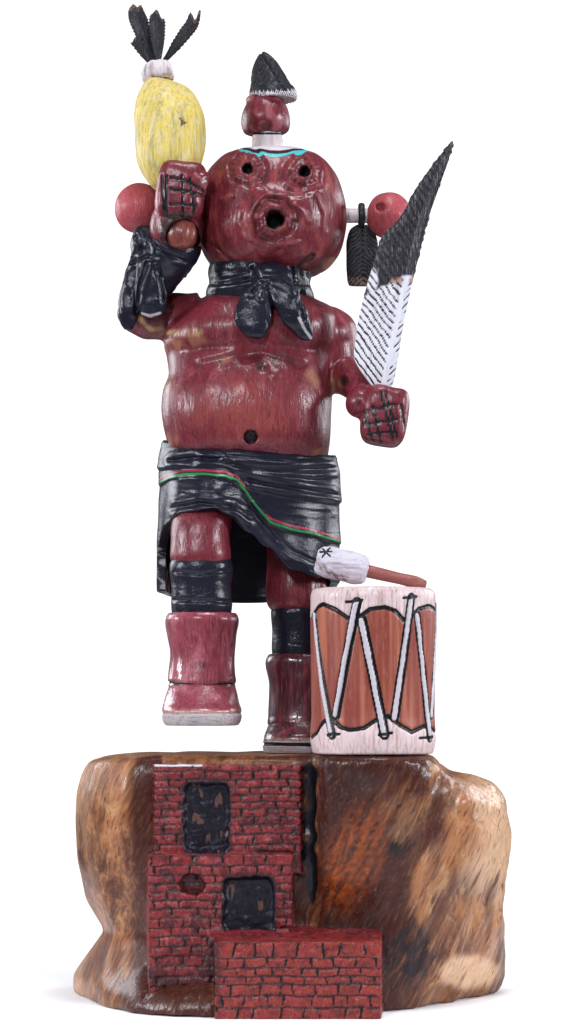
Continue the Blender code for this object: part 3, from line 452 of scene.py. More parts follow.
class Carving:
    """A piece's points while they are carved and painted in code."""

    def __init__(self, piece: Piece) -> None:
        """Reads the piece's points and the directions that they face.

        Args:
            piece: The piece.
        """
        self.piece = piece
        self.mesh = piece.data
        count = len(self.mesh.vertices)
        self.at = np.empty(count * 3)
        self.mesh.vertices.foreach_get("co", self.at)
        self.at = self.at.reshape(-1, 3)
        self.facing = np.empty(count * 3)
        self.mesh.vertices.foreach_get("normal", self.facing)
        self.facing = self.facing.reshape(-1, 3)

    def seen(self) -> tuple[Array, Array]:
        """Where each point falls in the photograph, across and down, in pixels.

        Returns:
            The places across and down.
        """
        scale = PIXEL * (self.at[:, 1] - CAMERA_PLACE[1])
        px = PHOTO_MIDDLE + (self.at[:, 0] - CAMERA_PLACE[0]) / scale
        py = PHOTO_HORIZON - (self.at[:, 2] - CAMERA_PLACE[2]) / scale
        return px, py

    def front(self, low: float = 0.05, high: float = 0.35) -> Array:
        """How much each point faces the front, from 0 to 1."""
        return smooth(-self.facing[:, 1], low, high)

    def push(self, depth: Array) -> None:
        """Moves the points along the way they face, outwards for a positive depth."""
        self.at = self.at + self.facing * depth[:, None]

    def push_front(self, depth: Array) -> None:
        """Moves the points towards the front."""
        self.at[:, 1] -= depth

    def mark(self, name: str, values: Array) -> None:
        """Keeps a value at each point for the paint to read."""
        layer = self.mesh.attributes.get(name) or self.mesh.attributes.new(name, "FLOAT", "POINT")
        layer.data.foreach_set("value", np.clip(values, 0, 1).astype(np.float32))

    def save(self) -> None:
        """Writes the moved points back."""
        self.mesh.vertices.foreach_set("co", self.at.reshape(-1))
        self.mesh.update()

    def finish(self, paint: Paint, *nodes: str) -> None:
        """Saves the carved piece and gives it its paint and its place."""
        self.save()
        settle(self.piece, paint, *nodes)


class Wiring:
    """A paint's shader while it is wired up."""

    def __init__(self, name: str) -> None:
        """Starts a material with one shader that reads places on the piece."""
        self.material = bpy.data.materials.new(name)
        self.material.use_nodes = True
        self.tree = self.material.node_tree
        self.shader = self.tree.nodes["Principled BSDF"]
        self.place = self.tree.nodes.new("ShaderNodeTexCoord").outputs["Object"]

    def link(self, source: Socket, target: Socket) -> None:
        """Joins two sockets."""
        self.tree.links.new(source, target)

    def noise(self, scale: float, stretch: Sequence[float] = (1, 1, 1), detail: float = 4,
              rough: float = 0.6, warp: float = 0.0, lean: float = 0.0) -> Socket:
        """A noise pattern on the piece.

        Args:
            scale: Lumps a metre.
            stretch: Its scale along each axis.
            detail: How many finer layers it has.
            rough: How strong those are.
            warp: How distorted it is.
            lean: How far its grain leans about Y, in degrees.

        Returns:
            Its value, about 0.5 on average.
        """
        mapping = self.tree.nodes.new("ShaderNodeMapping")
        mapping.vector_type = "TEXTURE"
        mapping.inputs["Scale"].default_value = [1 / share for share in stretch]
        mapping.inputs["Rotation"].default_value = (0, math.radians(lean), 0)
        self.link(self.place, mapping.inputs["Vector"])
        node = self.tree.nodes.new("ShaderNodeTexNoise")
        node.inputs["Scale"].default_value = scale
        node.inputs["Detail"].default_value = detail
        node.inputs["Roughness"].default_value = rough
        node.inputs["Distortion"].default_value = warp
        self.link(mapping.outputs["Vector"], node.inputs["Vector"])
        return node.outputs["Fac"]

    def step(self, value: Socket, low: float, high: float, top: float = 1.0) -> Socket:
        """Reads a value as 0 at low and top at high, smoothly.

        Args:
            value: The value.
            low: Where the result is 0.
            high: Where it reaches its top.
            top: Its top.

        Returns:
            The result.
        """
        node = self.tree.nodes.new("ShaderNodeMapRange")
        node.interpolation_type = "SMOOTHSTEP"
        node.inputs["From Min"].default_value = low
        node.inputs["From Max"].default_value = high
        node.inputs["To Max"].default_value = top
        self.link(value, node.inputs["Value"])
        return node.outputs["Result"]

    def attribute(self, name: str) -> Socket:
        """A value kept at the piece's points.

        Args:
            name: The name it is kept under.

        Returns:
            The value.
        """
        node = self.tree.nodes.new("ShaderNodeAttribute")
        node.attribute_name = name
        return node.outputs["Fac"]

    def maths(self, kind: str, first: Socket, second: Socket | float) -> Socket:
        """One sum on two values.

        Args:
            kind: The sum.
            first: A value.
            second: A value or number.

        Returns:
            The result.
        """
        node = self.tree.nodes.new("ShaderNodeMath")
        node.operation = kind
        self.link(first, node.inputs[0])
        if isinstance(second, (int, float)):
            node.inputs[1].default_value = second
        else:
            self.link(second, node.inputs[1])
        return node.outputs["Value"]

    def blend(self, share: Socket, under: Socket | Colour, over: Socket | Colour) -> Socket:
        """Lays one colour over another by a share.

        Args:
            share: How much of the upper one shows.
            under: The lower colour.
            over: The upper colour.

        Returns:
            The mixed colour.
        """
        node = self.tree.nodes.new("ShaderNodeMix")
        node.data_type = "RGBA"
        self.link(share, node.inputs["Factor"])
        for colour, socket in ((under, node.inputs[6]), (over, node.inputs[7])):
            if isinstance(colour, tuple):
                socket.default_value = (*colour, 1)
            else:
                self.link(colour, socket)
        return node.outputs[2]

    def bump(self, height: Socket, depth: float, below: Socket | None = None) -> Socket:
        """Relief too fine to model, of a real depth in metres.

        Args:
            height: Its pattern.
            depth: Its depth.
            below: Relief that it lies on.

        Returns:
            The way the surface faces.
        """
        node = self.tree.nodes.new("ShaderNodeBump")
        node.inputs["Strength"].default_value = 1.0
        node.inputs["Distance"].default_value = depth
        self.link(height, node.inputs["Height"])
        if below:
            self.link(below, node.inputs["Normal"])
        return node.outputs["Normal"]


@dataclass(frozen=True)
class Paint:
    """An old painted or varnished wood finish.

    Its base colour is stained in streaks along the grain and worn in patches, and marks kept at the
    piece's points lay further colours over it, some of them painted shade and painted highlights.
    """

    name: str
    slot: str
    base: Colour
    stain: Colour
    worn: Colour
    grain: Grain = Grain.UPRIGHT
    stain_scale: float = 760.0
    stain_from: float = 0.46
    stain_to: float = 0.72
    stain_most: float = 0.6
    warp: float = 0.4
    lean: float = 0.0
    worn_scale: float = 120.0
    worn_from: float = 0.56
    worn_to: float = 0.74
    worn_most: float = 0.7
    fibre: float = 1500.0
    fibre_dark: float = 0.6
    fibre_light: float = 0.3
    roughness: float = 0.42
    gloss: float = 0.12
    varnish: float = 0.55
    varnish_rough: float = 0.27
    glint: Place = (1.0, 1.0, 0.4)
    glint_scale: float = 420.0
    relief: float = 0.00042
    relief_scale: float = 620.0
    tooling: float = 0.00026
    tooling_scale: float = 1700.0
    edge_scale: float = 420.0
    edge_break: float = 0.6
    mark_break: float = 0.5
    zones: tuple[tuple[str, Colour], ...] = ()
    marks: tuple[tuple[str, Colour], ...] = ()

    def make(self) -> bpy.types.Material:
        """Wires the finish up.

        Returns:
            The material.
        """
        wires = Wiring(self.name)
        stretch = self.grain.value
        streaks = wires.noise(self.stain_scale, stretch, 6, 0.64, self.warp, self.lean)
        patches = wires.noise(self.worn_scale, (1, 1, 0.6), 7, 0.7, self.warp, self.lean)
        fibres = wires.noise(self.fibre, stretch, 3, 0.6, 0, self.lean)
        lumps = wires.noise(self.relief_scale, (1, 1, 0.45), 5, 0.6)
        colour = wires.blend(
            wires.step(streaks, self.stain_from, self.stain_to, self.stain_most), self.base, self.stain
        )
        worn = wires.step(patches, self.worn_from, self.worn_to, self.worn_most)
        colour = wires.blend(worn, colour, self.worn)
        breaks = wires.noise(self.edge_scale, stretch, 7, 0.65, self.warp + 0.2, self.lean)
        ragged = wires.maths("MULTIPLY", wires.maths("SUBTRACT", breaks, 0.5), self.edge_break)
        for name, over in self.zones:
            edge = wires.maths("ADD", wires.attribute(name), ragged)
            colour = wires.blend(wires.step(edge, 0.05, 0.95), colour, over)
        colour = wires.blend(wires.step(fibres, 0.46, 0.28, self.fibre_light), colour, self.worn)
        colour = wires.blend(wires.step(fibres, 0.53, 0.72, self.fibre_dark), colour, self.stain)
        rough_edge = wires.maths("MULTIPLY", wires.maths("SUBTRACT", fibres, 0.5), self.mark_break)
        for name, over in self.marks:
            edge = wires.maths("ADD", wires.attribute(name), rough_edge)
            colour = wires.blend(wires.step(edge, 0.22, 0.58), colour, over)
        wires.link(colour, wires.shader.inputs["Base Color"])
        rough = wires.maths("MULTIPLY_ADD", lumps, 0.3)
        rough.node.inputs[2].default_value = self.roughness - 0.15
        wires.link(rough, wires.shader.inputs["Roughness"])
        tools = wires.noise(self.tooling_scale, (1, 1, 0.5), 3, 0.55)
        fine = wires.bump(fibres, self.relief * 0.24)
        normal = wires.bump(lumps, self.relief, wires.bump(tools, self.tooling, fine))
        wires.link(normal, wires.shader.inputs["Normal"])
        wires.shader.inputs["Specular IOR Level"].default_value = self.gloss
        wires.shader.inputs["Coat Weight"].default_value = self.varnish
        wires.shader.inputs["Coat Roughness"].default_value = self.varnish_rough
        waves = wires.noise(self.glint_scale, self.glint, 2, 0.5, 0.6)
        wires.link(wires.bump(waves, self.relief * 0.65, fine), wires.shader.inputs["Coat Normal"])
        return wires.material


RED = (0.152, 0.015, 0.025)
OXBLOOD = (0.03, 0.007, 0.01)
ROSE = (0.33, 0.085, 0.1)
TAN = (0.55, 0.33, 0.17)
INK = (0.008, 0.008, 0.012)
SOOT = (0.0085, 0.0085, 0.02)
# Dust on the black cloth; on the white collar this colour also paints the shade in the notch by the gourd.
DUST_AND_SHADE = (0.085, 0.052, 0.046)
CHALK = (0.63, 0.57, 0.61)
BONE = (0.55, 0.37, 0.3)
CYAN = (0.05, 0.43, 0.46)

# The skin's 'dark' zone is mostly painted shade in hollows, creases and holes; its 'rose', 'pale' and
# 'white' are paint and wear, and in places painted highlights.
SKIN = Paint("red_skin", "red_paint", RED, OXBLOOD, ROSE, zones=(
    ("warm", (0.24, 0.042, 0.04)), ("rose", (0.36, 0.11, 0.13)), ("brown", (0.3, 0.125, 0.07)),
    ("pale", TAN), ("dark", (0.03, 0.009, 0.009))), marks=(
    ("ink", INK), ("white", CHALK), ("cyan", CYAN)))
EAR = Paint("ear_red", "red_paint", (0.4, 0.075, 0.088), (0.2, 0.03, 0.036), (0.52, 0.16, 0.17),
            varnish=0.2, fibre_dark=0.35, stain_most=0.45, zones=(("pale", TAN), ("dark", OXBLOOD)))
BOOT = Paint("boot_red", "red_paint", (0.25, 0.04, 0.06), OXBLOOD, (0.48, 0.17, 0.21), varnish=1.0,
             varnish_rough=0.19, worn_from=0.48, worn_to=0.7, relief=0.0003,
             zones=(("dark", OXBLOOD), ("pale", BONE)), marks=(("ink", INK),))
BLACK = Paint("black_cloth", "black_paint", SOOT, INK, DUST_AND_SHADE, Grain.EVEN, worn_scale=330, worn_from=0.6,
              worn_to=0.8, worn_most=0.3, fibre_dark=0.2, fibre_light=0.06, roughness=0.6, gloss=0.06,
              varnish=0.65, varnish_rough=0.2, glint=(0.3, 0.3, 1.0), glint_scale=260,
              relief=0.00055, relief_scale=560, tooling=0.0003,
              marks=(("pale", (0.4, 0.38, 0.38)), ("red", (0.3, 0.02, 0.05)),
                     ("green", (0.02, 0.2, 0.05))))
PLUME = Paint("black_feather", "black_paint", (0.022, 0.022, 0.027), INK, (0.075, 0.062, 0.058), Grain.EVEN,
              worn_scale=500, worn_from=0.5, worn_to=0.7, worn_most=0.6, roughness=0.55, varnish=0.15,
              relief=0.00022, zones=(("pale", (0.2, 0.12, 0.09)), ("white", CHALK)),
              marks=(("ink", INK),))
QUILL = Paint("white_feather", "black_paint", (0.66, 0.66, 0.72), (0.36, 0.35, 0.42), CHALK, roughness=0.5,
              varnish=0.2, relief=0.00012, tooling=0.0001, fibre_dark=0.25, edge_break=0.3,
              zones=(("plume", (0.022, 0.02, 0.024)), ("tan", (0.32, 0.17, 0.11))),
              marks=(("barb", (0.05, 0.02, 0.016)), ("ink", INK)))
WHITE = Paint("white_peg", "white_paint", CHALK, BONE, (0.62, 0.52, 0.5), roughness=0.55, varnish=0.15,
              stain_most=0.75, fibre_dark=0.5, relief=0.0003, zones=(("dark", DUST_AND_SHADE),),
              marks=(("ink", INK),))
PAD = Paint("stick_lavender", "white_paint", (0.6, 0.56, 0.63), (0.33, 0.28, 0.34), (0.66, 0.61, 0.64),
            Grain.LEVEL, stain_most=0.8, fibre_dark=0.6, relief=0.0004, roughness=0.6, varnish=0.1,
            zones=(("dark", (0.17, 0.1, 0.08)),), marks=(("ink", INK),))
GOURD = Paint("yellow_gourd", "yellow_paint", (0.66, 0.5, 0.11), (0.27, 0.24, 0.14), (0.62, 0.57, 0.42),
              stain_scale=620, stain_from=0.42, stain_to=0.7, stain_most=0.75, worn_scale=330,
              worn_from=0.46, worn_to=0.7, worn_most=0.65, fibre_dark=0.85, fibre_light=0.3,
              roughness=0.6, varnish=0.12, relief=0.0003, zones=(("dark", (0.1, 0.05, 0.03)),))
BUTT = Paint("handle_brown", "yellow_paint", (0.2, 0.044, 0.036), (0.05, 0.014, 0.011), (0.34, 0.11, 0.08),
             zones=(("dark", (0.012, 0.006, 0.006)),))
SHAFT = Paint("stick_brown", "white_paint", (0.3, 0.1, 0.085), (0.14, 0.045, 0.035), (0.5, 0.27, 0.25),
              Grain.LEVEL, roughness=0.5, varnish=0.2)
DRUM = Paint("drum_wood", "white_paint", (0.64, 0.51, 0.51), (0.3, 0.14, 0.11), (0.74, 0.66, 0.68),
             stain_scale=900, stain_most=0.65, fibre_dark=0.6, fibre_light=0.08, roughness=0.5, varnish=0.3,
             relief=0.00012, tooling=0.00008, edge_break=0.25, mark_break=0.12,
             zones=(("panel", (0.22, 0.046, 0.032)), ("light", (0.42, 0.14, 0.085))),
             marks=(("strap", (0.5, 0.46, 0.5)), ("ink", (0.004, 0.004, 0.005))))
SOLE = Paint("sole_grey", "white_paint", (0.4, 0.35, 0.36), (0.13, 0.05, 0.06), CHALK, Grain.LEVEL,
             roughness=0.6, varnish=0.1, marks=(("ink", INK),))
BRICK = Paint("brick_red", "root_wood", (0.19, 0.015, 0.018), (0.022, 0.004, 0.006), (0.4, 0.085, 0.08),
              Grain.EVEN, stain_scale=210, stain_from=0.44, stain_to=0.62, stain_most=0.8, warp=1.0,
              worn_scale=260, worn_from=0.52, worn_to=0.7,
              varnish=0.4, varnish_rough=0.22, relief=0.0007, relief_scale=520, tooling=0.00036,
              zones=(("warm", (0.27, 0.034, 0.018)), ("shade", (0.03, 0.006, 0.008))),
              marks=(("blue", (0.006, 0.004, 0.013)), ("scratch", (0.13, 0.062, 0.046)),
                     ("ink", (0.006, 0.004, 0.005)), ("white", CHALK)))
ROOT = Paint("root_wood", "root_wood", (0.35, 0.14, 0.056), (0.08, 0.03, 0.018), (0.53, 0.31, 0.165),
             Grain.SLANTED, stain_scale=130, stain_from=0.44, stain_to=0.64, stain_most=0.8, warp=1.2,
             lean=27, worn_scale=70, worn_from=0.5, worn_to=0.68, worn_most=0.6, fibre=900,
             fibre_dark=0.85, fibre_light=0.1, varnish=0.35, varnish_rough=0.24,
             glint_scale=260, relief=0.00055, relief_scale=330, tooling=0.00024,
             tooling_scale=1300, edge_scale=260, edge_break=1.9, zones=(
                 ("pale", (0.62, 0.39, 0.24)), ("brown", (0.047, 0.009, 0.006)),
                 ("orange", (0.4, 0.078, 0.01)), ("plum", (0.012, 0.005, 0.008))),
             marks=(("ink", INK),))


class Paints:
    """The finishes that are in use, each made once."""

    def __init__(self) -> None:
        """Starts with none made."""
        self.made: dict[str, bpy.types.Material] = {}

    def __getitem__(self, paint: Paint) -> bpy.types.Material:
        """The material of a finish.

        Args:
            paint: The finish.

        Returns:
            Its material.
        """
        if paint.name not in self.made:
            self.made[paint.name] = paint.make()
        return self.made[paint.name]


PAINTS = Paints()


def settle(piece: Piece, paint: Paint, *nodes: str) -> None:
    """Gives a finished piece its paint and its place on the doll.

    Args:
        piece: The piece.
        paint: Its finish.
        *nodes: The solids that it stands for.
    """
    piece.data.materials.clear()
    piece.data.materials.append(PAINTS[paint])
    piece.data.polygons.foreach_set("use_smooth", np.ones(len(piece.data.polygons), bool))
    piece.data.update()
    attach(piece, "root")
    if nodes:
        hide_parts(*nodes)
    LOG.info("%s: %d faces", piece.name, len(piece.data.polygons))


@dataclass
class Opening:
    """A hole of the mask with the raised ring round it, in photograph pixels."""

    x: float
    y: float
    hole: float
    ring: float
    rise: float
    depth: float
    nicks: int


@dataclass
class Mask:
    """The round masked head."""

    centre: Pair = (-3.75, -0.8)
    radii: Pair = (12.5, 11.4)
    profile: Points = (
        (78.6, 0.36), (79.2, 0.52), (79.9, 0.68), (81.0, 0.8), (82.6, 0.893), (84.6, 0.955),
        (87.0, 0.995), (89.4, 1.0), (91.6, 0.98), (93.8, 0.93), (96.0, 0.85), (97.6, 0.755),
        (98.8, 0.635), (99.6, 0.46), (100.05, 0.25), (100.15, 0.08),
    )
    openings: tuple[Opening, ...] = (
        Opening(247.8, 168.4, 4.8, 16.0, 0.0008, 0.0042, 19),
        Opening(304.4, 171.0, 5.0, 15.0, 0.0008, 0.0042, 17),
        Opening(274.9, 221.0, 8.0, 19.0, 0.0026, 0.006, 23),
    )
    ridges: Lines = (
        ((250, 183), (258, 185), (266, 190)),
        ((268, 194), (284, 197), (301, 196)),
        ((240, 210), (238, 222), (243, 234), (250, 240)),
        ((297, 205), (306, 212), (309, 222)), ((318, 196), (326, 214), (324, 232)), ((282, 246), (300, 243)),
        ((222, 200), (232, 196)), ((288, 186), (296, 190)),
    )
    fold: Points = ((205, 240), (216, 247), (228, 258), (246, 266), (262, 268))
    notch: Points = ((294, 268), (302, 262), (312, 256))
    worn_patch: Oval = (330, 264, 10, 9)
    face: Oval = (274, 200, 60, 58)
    muzzle: Pair = (42, 22)
    crown: Pair = (-0.0078, -0.0082)
    rings: Place = (10.9, 12.1, 13.4)

    def build(self) -> None:
        """Models the head and paints it."""
        table = [
            (*self.centre, z, self.radii[0] * share, self.radii[1] * share) for z, share in self.profile
        ]
        head = roll("mask", level_rings(table, 140, 240, 2.15))
        self.carve(Carving(head))
        settle(head, SKIN, "figure")

    def carve(self, head: Carving) -> None:
        """Carves the muzzle, the ringed openings and the folds, and paints them.

        Args:
            head: The head.
        """
        px, py = head.seen()
        front = head.front(0.1, 0.4)
        out, dark, ink, rose = np.zeros((4, len(px)))
        mouth = self.openings[2]
        away = np.hypot(px - mouth.x, (py - mouth.y) * 1.02)
        out += 0.0026 * smooth(away, *self.muzzle)
        for hole in self.openings:
            dx, dy = px - hole.x, py - hole.y
            turn = np.arctan2(dy, dx)
            away = np.hypot(dx, dy) * (1 + 0.06 * np.sin(3 * turn + hole.x) + 0.04 * np.sin(7 * turn))
            broken = 0.55 + 0.45 * np.sin(2 * turn + hole.y) * np.sin(5 * turn + 1)
            middle, half = (hole.hole + hole.ring) / 2 - 0.8, (hole.ring - hole.hole) / 2 + 1.2
            ring = hump(away, middle, half)
            out += hole.rise * ring
            ditch = hump(away, hole.ring + 1.5, 4.0) * broken
            out -= 0.0011 * ditch
            out += 0.0007 * hump(away, hole.ring + 7, 4.5) * (1 - broken)
            inside = smooth(away, hole.hole * 1.18, hole.hole * 0.82)
            out -= (hole.depth + hole.rise) * inside
            nicks = smooth(np.sin(turn * hole.nicks + 1.2 * np.sin(turn * 3)), 0.45, 0.9)
            nicks *= smooth(away, hole.hole * 1.2, hole.hole * 1.6)
            nicks *= smooth(away, hole.ring + 2, hole.ring - 1)
            nicks *= 0.45 + 0.55 * np.abs(np.sin(2.5 * turn + hole.x))
            out -= 0.00085 * nicks
            # Painted shade: the ditch round each ring is darkened, and each hole's lip and inside are
            # painted dark.
            shade = 0.85 if hole is mouth else 0.45
            dark = most(dark, shade * ditch, 0.62 * nicks)
            dark = most(dark, 0.65 * hump(away, hole.hole * 1.15, hole.hole * 0.45))
            ink = most(ink, inside)
            # Ring tops, and below the ridge crests, turn rose: wear on raised edges, in part a painted
            # highlight.
            rose = most(rose, 0.6 * ring * (1 - nicks) * broken)
        for ridge in self.ridges:
            crest = stroke(px, py, ridge, 4.0)
            out += 0.001 * crest
            rose = most(rose, 0.9 * crest)
        fold = distance_to(px, py, self.fold)
        out += 0.001 * stroke(px, py - 6, self.fold, 8.0) - 0.0009 * hump(fold, 0, 3.0)
        notch = stroke(px, py, self.notch, 5.0)
        out -= 0.0016 * notch
        # Painted shade: the fold's crease and the notch under the jaw are darkened.
        dark = most(dark, 0.7 * hump(fold, 0, 3.0), notch)
        head.push_front(out * front)
        head.push(0.00016 * ripple(head.at, (0.007, 0.007, 0.012), 3))
        patch = oval(px, py, self.worn_patch, 1.1, 0.6) * head.front(-0.3, 0.1)
        head.mark("brown", patch * 0.75)
        head.mark("rose", rose * front * (0.35 + 0.5 * ripple(head.at, (0.003, 0.003, 0.005), 5)))
        drift = ripple(head.at, (0.005, 0.005, 0.012), 15)
        shade = smooth(drift, 0.15, 0.9) * oval(px, py, self.face, 1.1, 0.4)
        # The painted shade gathered above, with the face's darker mottling.
        head.mark("dark", most(dark, 0.6 * shade) * front)
        head.mark("warm", 0.7 * smooth(-drift, -0.2, 0.8) * front)
        x, y = self.crown
        radius = np.hypot(head.at[:, 0] - x, head.at[:, 1] - y) / MM
        top = smooth(head.at[:, 2], spot(0, 0, 95.5)[2], spot(0, 0, 96.5)[2])
        head.mark("white", top * smooth(radius, self.rings[0] + 0.3, self.rings[0]))
        # Ink: the black inside the holes is painted shade; the ring round the crown is painted black.
        head.mark("ink", most(ink * front, top * hump(radius, self.rings[1], 0.9)))
        head.mark("cyan", top * hump(radius, self.rings[2], 0.75))
        head.save()


TRUNK = (
    (-7.1, 0.3, 43.0, 12.1, 8.8), (-7.3, 0.0, 48.0, 12.8, 9.4), (-7.5, -0.8, 51.0, 13.4, 10.6),
    (-7.75, -1.2, 54.0, 13.85, 10.8), (-7.85, -1.25, 57.0, 14.15, 10.85), (-7.7, -1.1, 60.0, 13.9, 10.6),
    (-7.3, -0.75, 62.3, 13.5, 10.15), (-7.2, -0.2, 64.6, 13.8, 9.6), (-7.1, 0.1, 66.0, 14.1, 9.4),
    (-7.1, -0.2, 67.6, 14.5, 9.8), (-6.7, -0.3, 70.5, 14.3, 9.9), (-5.9, -0.05, 72.6, 13.1, 9.25),
    (-5.7, 0.3, 74.4, 11.1, 8.3), (-5.8, 0.55, 75.7, 8.8, 7.45), (-5.6, 0.7, 78.5, 7.0, 6.7),
)
RAISED_ARM = (
    (-16.0, 0.2, 72.2, 4.2, 4.8), (-21.0, 0.0, 72.4, 4.0, 4.2), (-25.4, -0.9, 72.9, 3.9, 3.9),
    (-27.6, -1.2, 73.2, 3.0, 3.0), (-28.9, -1.4, 73.4, 1.4, 1.4), (-29.2, -1.4, 73.5, 0.3, 0.3),
)
RAISED_FOREARM = (
    (-25.9, -1.2, 72.6, 3.4, 3.4), (-25.2, -1.8, 75.0, 3.8, 3.9), (-23.3, -3.4, 78.8, 3.3, 3.6),
    (-21.0, -5.4, 83.0, 3.3, 3.4),
)
LEFT_ARM = (
    (5.6, 0.2, 70.2, 4.8, 4.8), (6.4, 0.6, 66.6, 4.5, 4.6), (7.2, 0.8, 62.8, 4.0, 4.2),
    (7.8, 0.4, 60.6, 2.6, 2.8),
)
LEFT_FOREARM = (
    (7.2, 0.6, 63.2, 3.2, 3.4), (9.4, -3.6, 61.4, 2.8, 2.9), (11.6, -7.4, 58.8, 2.7, 2.7),
    (13.2, -9.4, 56.6, 2.8, 2.8),
)


@dataclass
class Body:
    """The bare trunk, the arms and the left fist."""

    chest_fold: Points = ((200, 357), (228, 351), (250, 346), (262, 345), (278, 350), (302, 358))
    dent: Place = (263.0, 367.0, 7.0)
    swell: Place = (276.0, 373.0, 9.0)
    navel: Place = (250.5, 436.5, 7.5)
    arm_hollow: Place = (345.0, 381.0, 8.5)
    grip_lines: Lines = (
        ((364, 412), (380, 408), (396, 404)), ((363, 424.5), (397, 419.5)), ((367, 434), (396, 431)),
        ((365, 413), (373, 442)), ((372.5, 406), (381, 442)), ((381, 392), (393, 440)),
        ((386, 392), (397, 436)), ((401, 404), (405, 430)),
    )
    belly: Oval = (240, 410, 88, 50)
    chest_shadow: Oval = (256, 362, 60, 15)
    waist: Points = ((160, 448), (214, 452), (266, 464), (334, 460))
    arm_wear_and_highlight: Points = ((140, 318), (152, 329), (176, 333), (200, 332))
    pale_spots: tuple[Oval, ...] = (
        (170, 345, 22, 10), (196, 338, 16, 14), (336, 386, 9, 20), (318, 452, 22, 7), (168, 380, 9, 20),
        (170, 440, 14, 10), (222, 360, 16, 6), (312, 378, 12, 16),
    )

    def build(self) -> None:
        """Models the trunk with its arms as one mass and paints it."""
        up = (0, 0, 1)
        masses = [
            roll("body", level_rings(TRUNK, 150, 160, 2.5)),
            ball("right_shoulder", (-18.4, 0.2, 71.4), (5.0, 5.0, 4.2)),
            ball("left_shoulder", (4.9, 0.2, 69.4), (5.7, 5.2, 4.9)),
            roll("raised_arm", path_rings(RAISED_ARM, 40, 48, up)),
            roll("raised_forearm", path_rings(RAISED_FOREARM, 40, 48)),
            roll("left_arm", path_rings(LEFT_ARM, 40, 48)),
            roll("left_forearm", path_rings(LEFT_FOREARM, 40, 48)),
            ball("left_fist", (14.7, -10.0, 54.8), (3.75, 4.0, 4.85), 8, 4.2, 96),
            ball("left_thumb", (10.6, -9.4, 57.2), (2.2, 3.2, 2.6), 20),
        ]
        body = merge("body", masses, 0.00077, 3)
        self.carve(Carving(body))
        settle(body, SKIN, "figure")

    def carve(self, body: Carving) -> None:
        """Carves the folds, the navel and the fingers, and paints them.

        Args:
            body: The body.
        """
        px, py = body.seen()
        front = body.front()
        out = 0.0006 * stroke(px, py, self.chest_fold, 8.0)
        under = stroke(px, py - 9, self.chest_fold, 9.0)
        out -= 0.0007 * under
        belly = oval(px, py, self.belly, 1.15, 0.1)
        x, y, radius = self.dent
        dent = hump(np.hypot(px - x, py - y), 0, radius)
        x, y, radius = self.swell
        swell = hump(np.hypot(px - x, py - y), 0, radius)
        out += 0.001 * swell - 0.0014 * dent
        x, y, radius = self.navel
        navel = smooth(np.hypot(px - x, py - y), radius * 1.1, radius * 0.75)
        out -= 0.003 * navel
        x, y, radius = self.arm_hollow
        hollow = hump(np.hypot(px - x, py - y), 0, radius)
        out -= 0.002 * hollow
        grips = lines_mask(px, py, self.grip_lines, 1.7) * (py > 388)
        out -= 0.0006 * grips
        body.push_front(out * front)
        body.push(0.00022 * ripple(body.at, (0.008, 0.008, 0.016), 7))
        drift = ripple(body.at, (0.006, 0.006, 0.016), 8)
        # Painted shade: darker under the chest fold, across the chest below the scarf, in the dent and the
        # arm's hollow, along the waist crease and in the navel.
        shadow = oval(px, py, self.chest_shadow, 1.1, 0.2)
        dark = most(most(0.5 * under, shadow) * (0.55 + 0.4 * drift), 0.9 * dent)
        dark = most(dark, hollow)
        body.mark("warm", belly * (0.75 + 0.4 * drift) * front)
        waist = hump(py - between(px, self.waist), 0, 7)
        dark = most(dark, 0.55 * waist)
        pale = np.zeros(len(px))
        for place in self.pale_spots:
            pale = most(pale, oval(px, py, place, 1.1, 0.4))
        body.mark("dark", most(dark, navel) * front)
        # Ink: the left fist's finger lines, and the navel darkened as painted shade.
        body.mark("ink", most(grips, 0.45 * navel) * front)
        body.mark("brown", pale * (0.46 + 0.3 * ripple(body.at, (0.004, 0.004, 0.01), 9)))
        # Lighter along the raised arm's underside: worn paint, in part a painted highlight.
        arm = stroke(px, py, self.arm_wear_and_highlight, 6)
        body.mark("pale", arm * (0.5 + 0.35 * ripple(body.at, (0.008, 0.008, 0.003), 10)))
        body.mark("rose", 0.3 * smooth(ripple(body.at, (0.004, 0.004, 0.012), 13), 0.4, 1.1) * front)
        body.save()


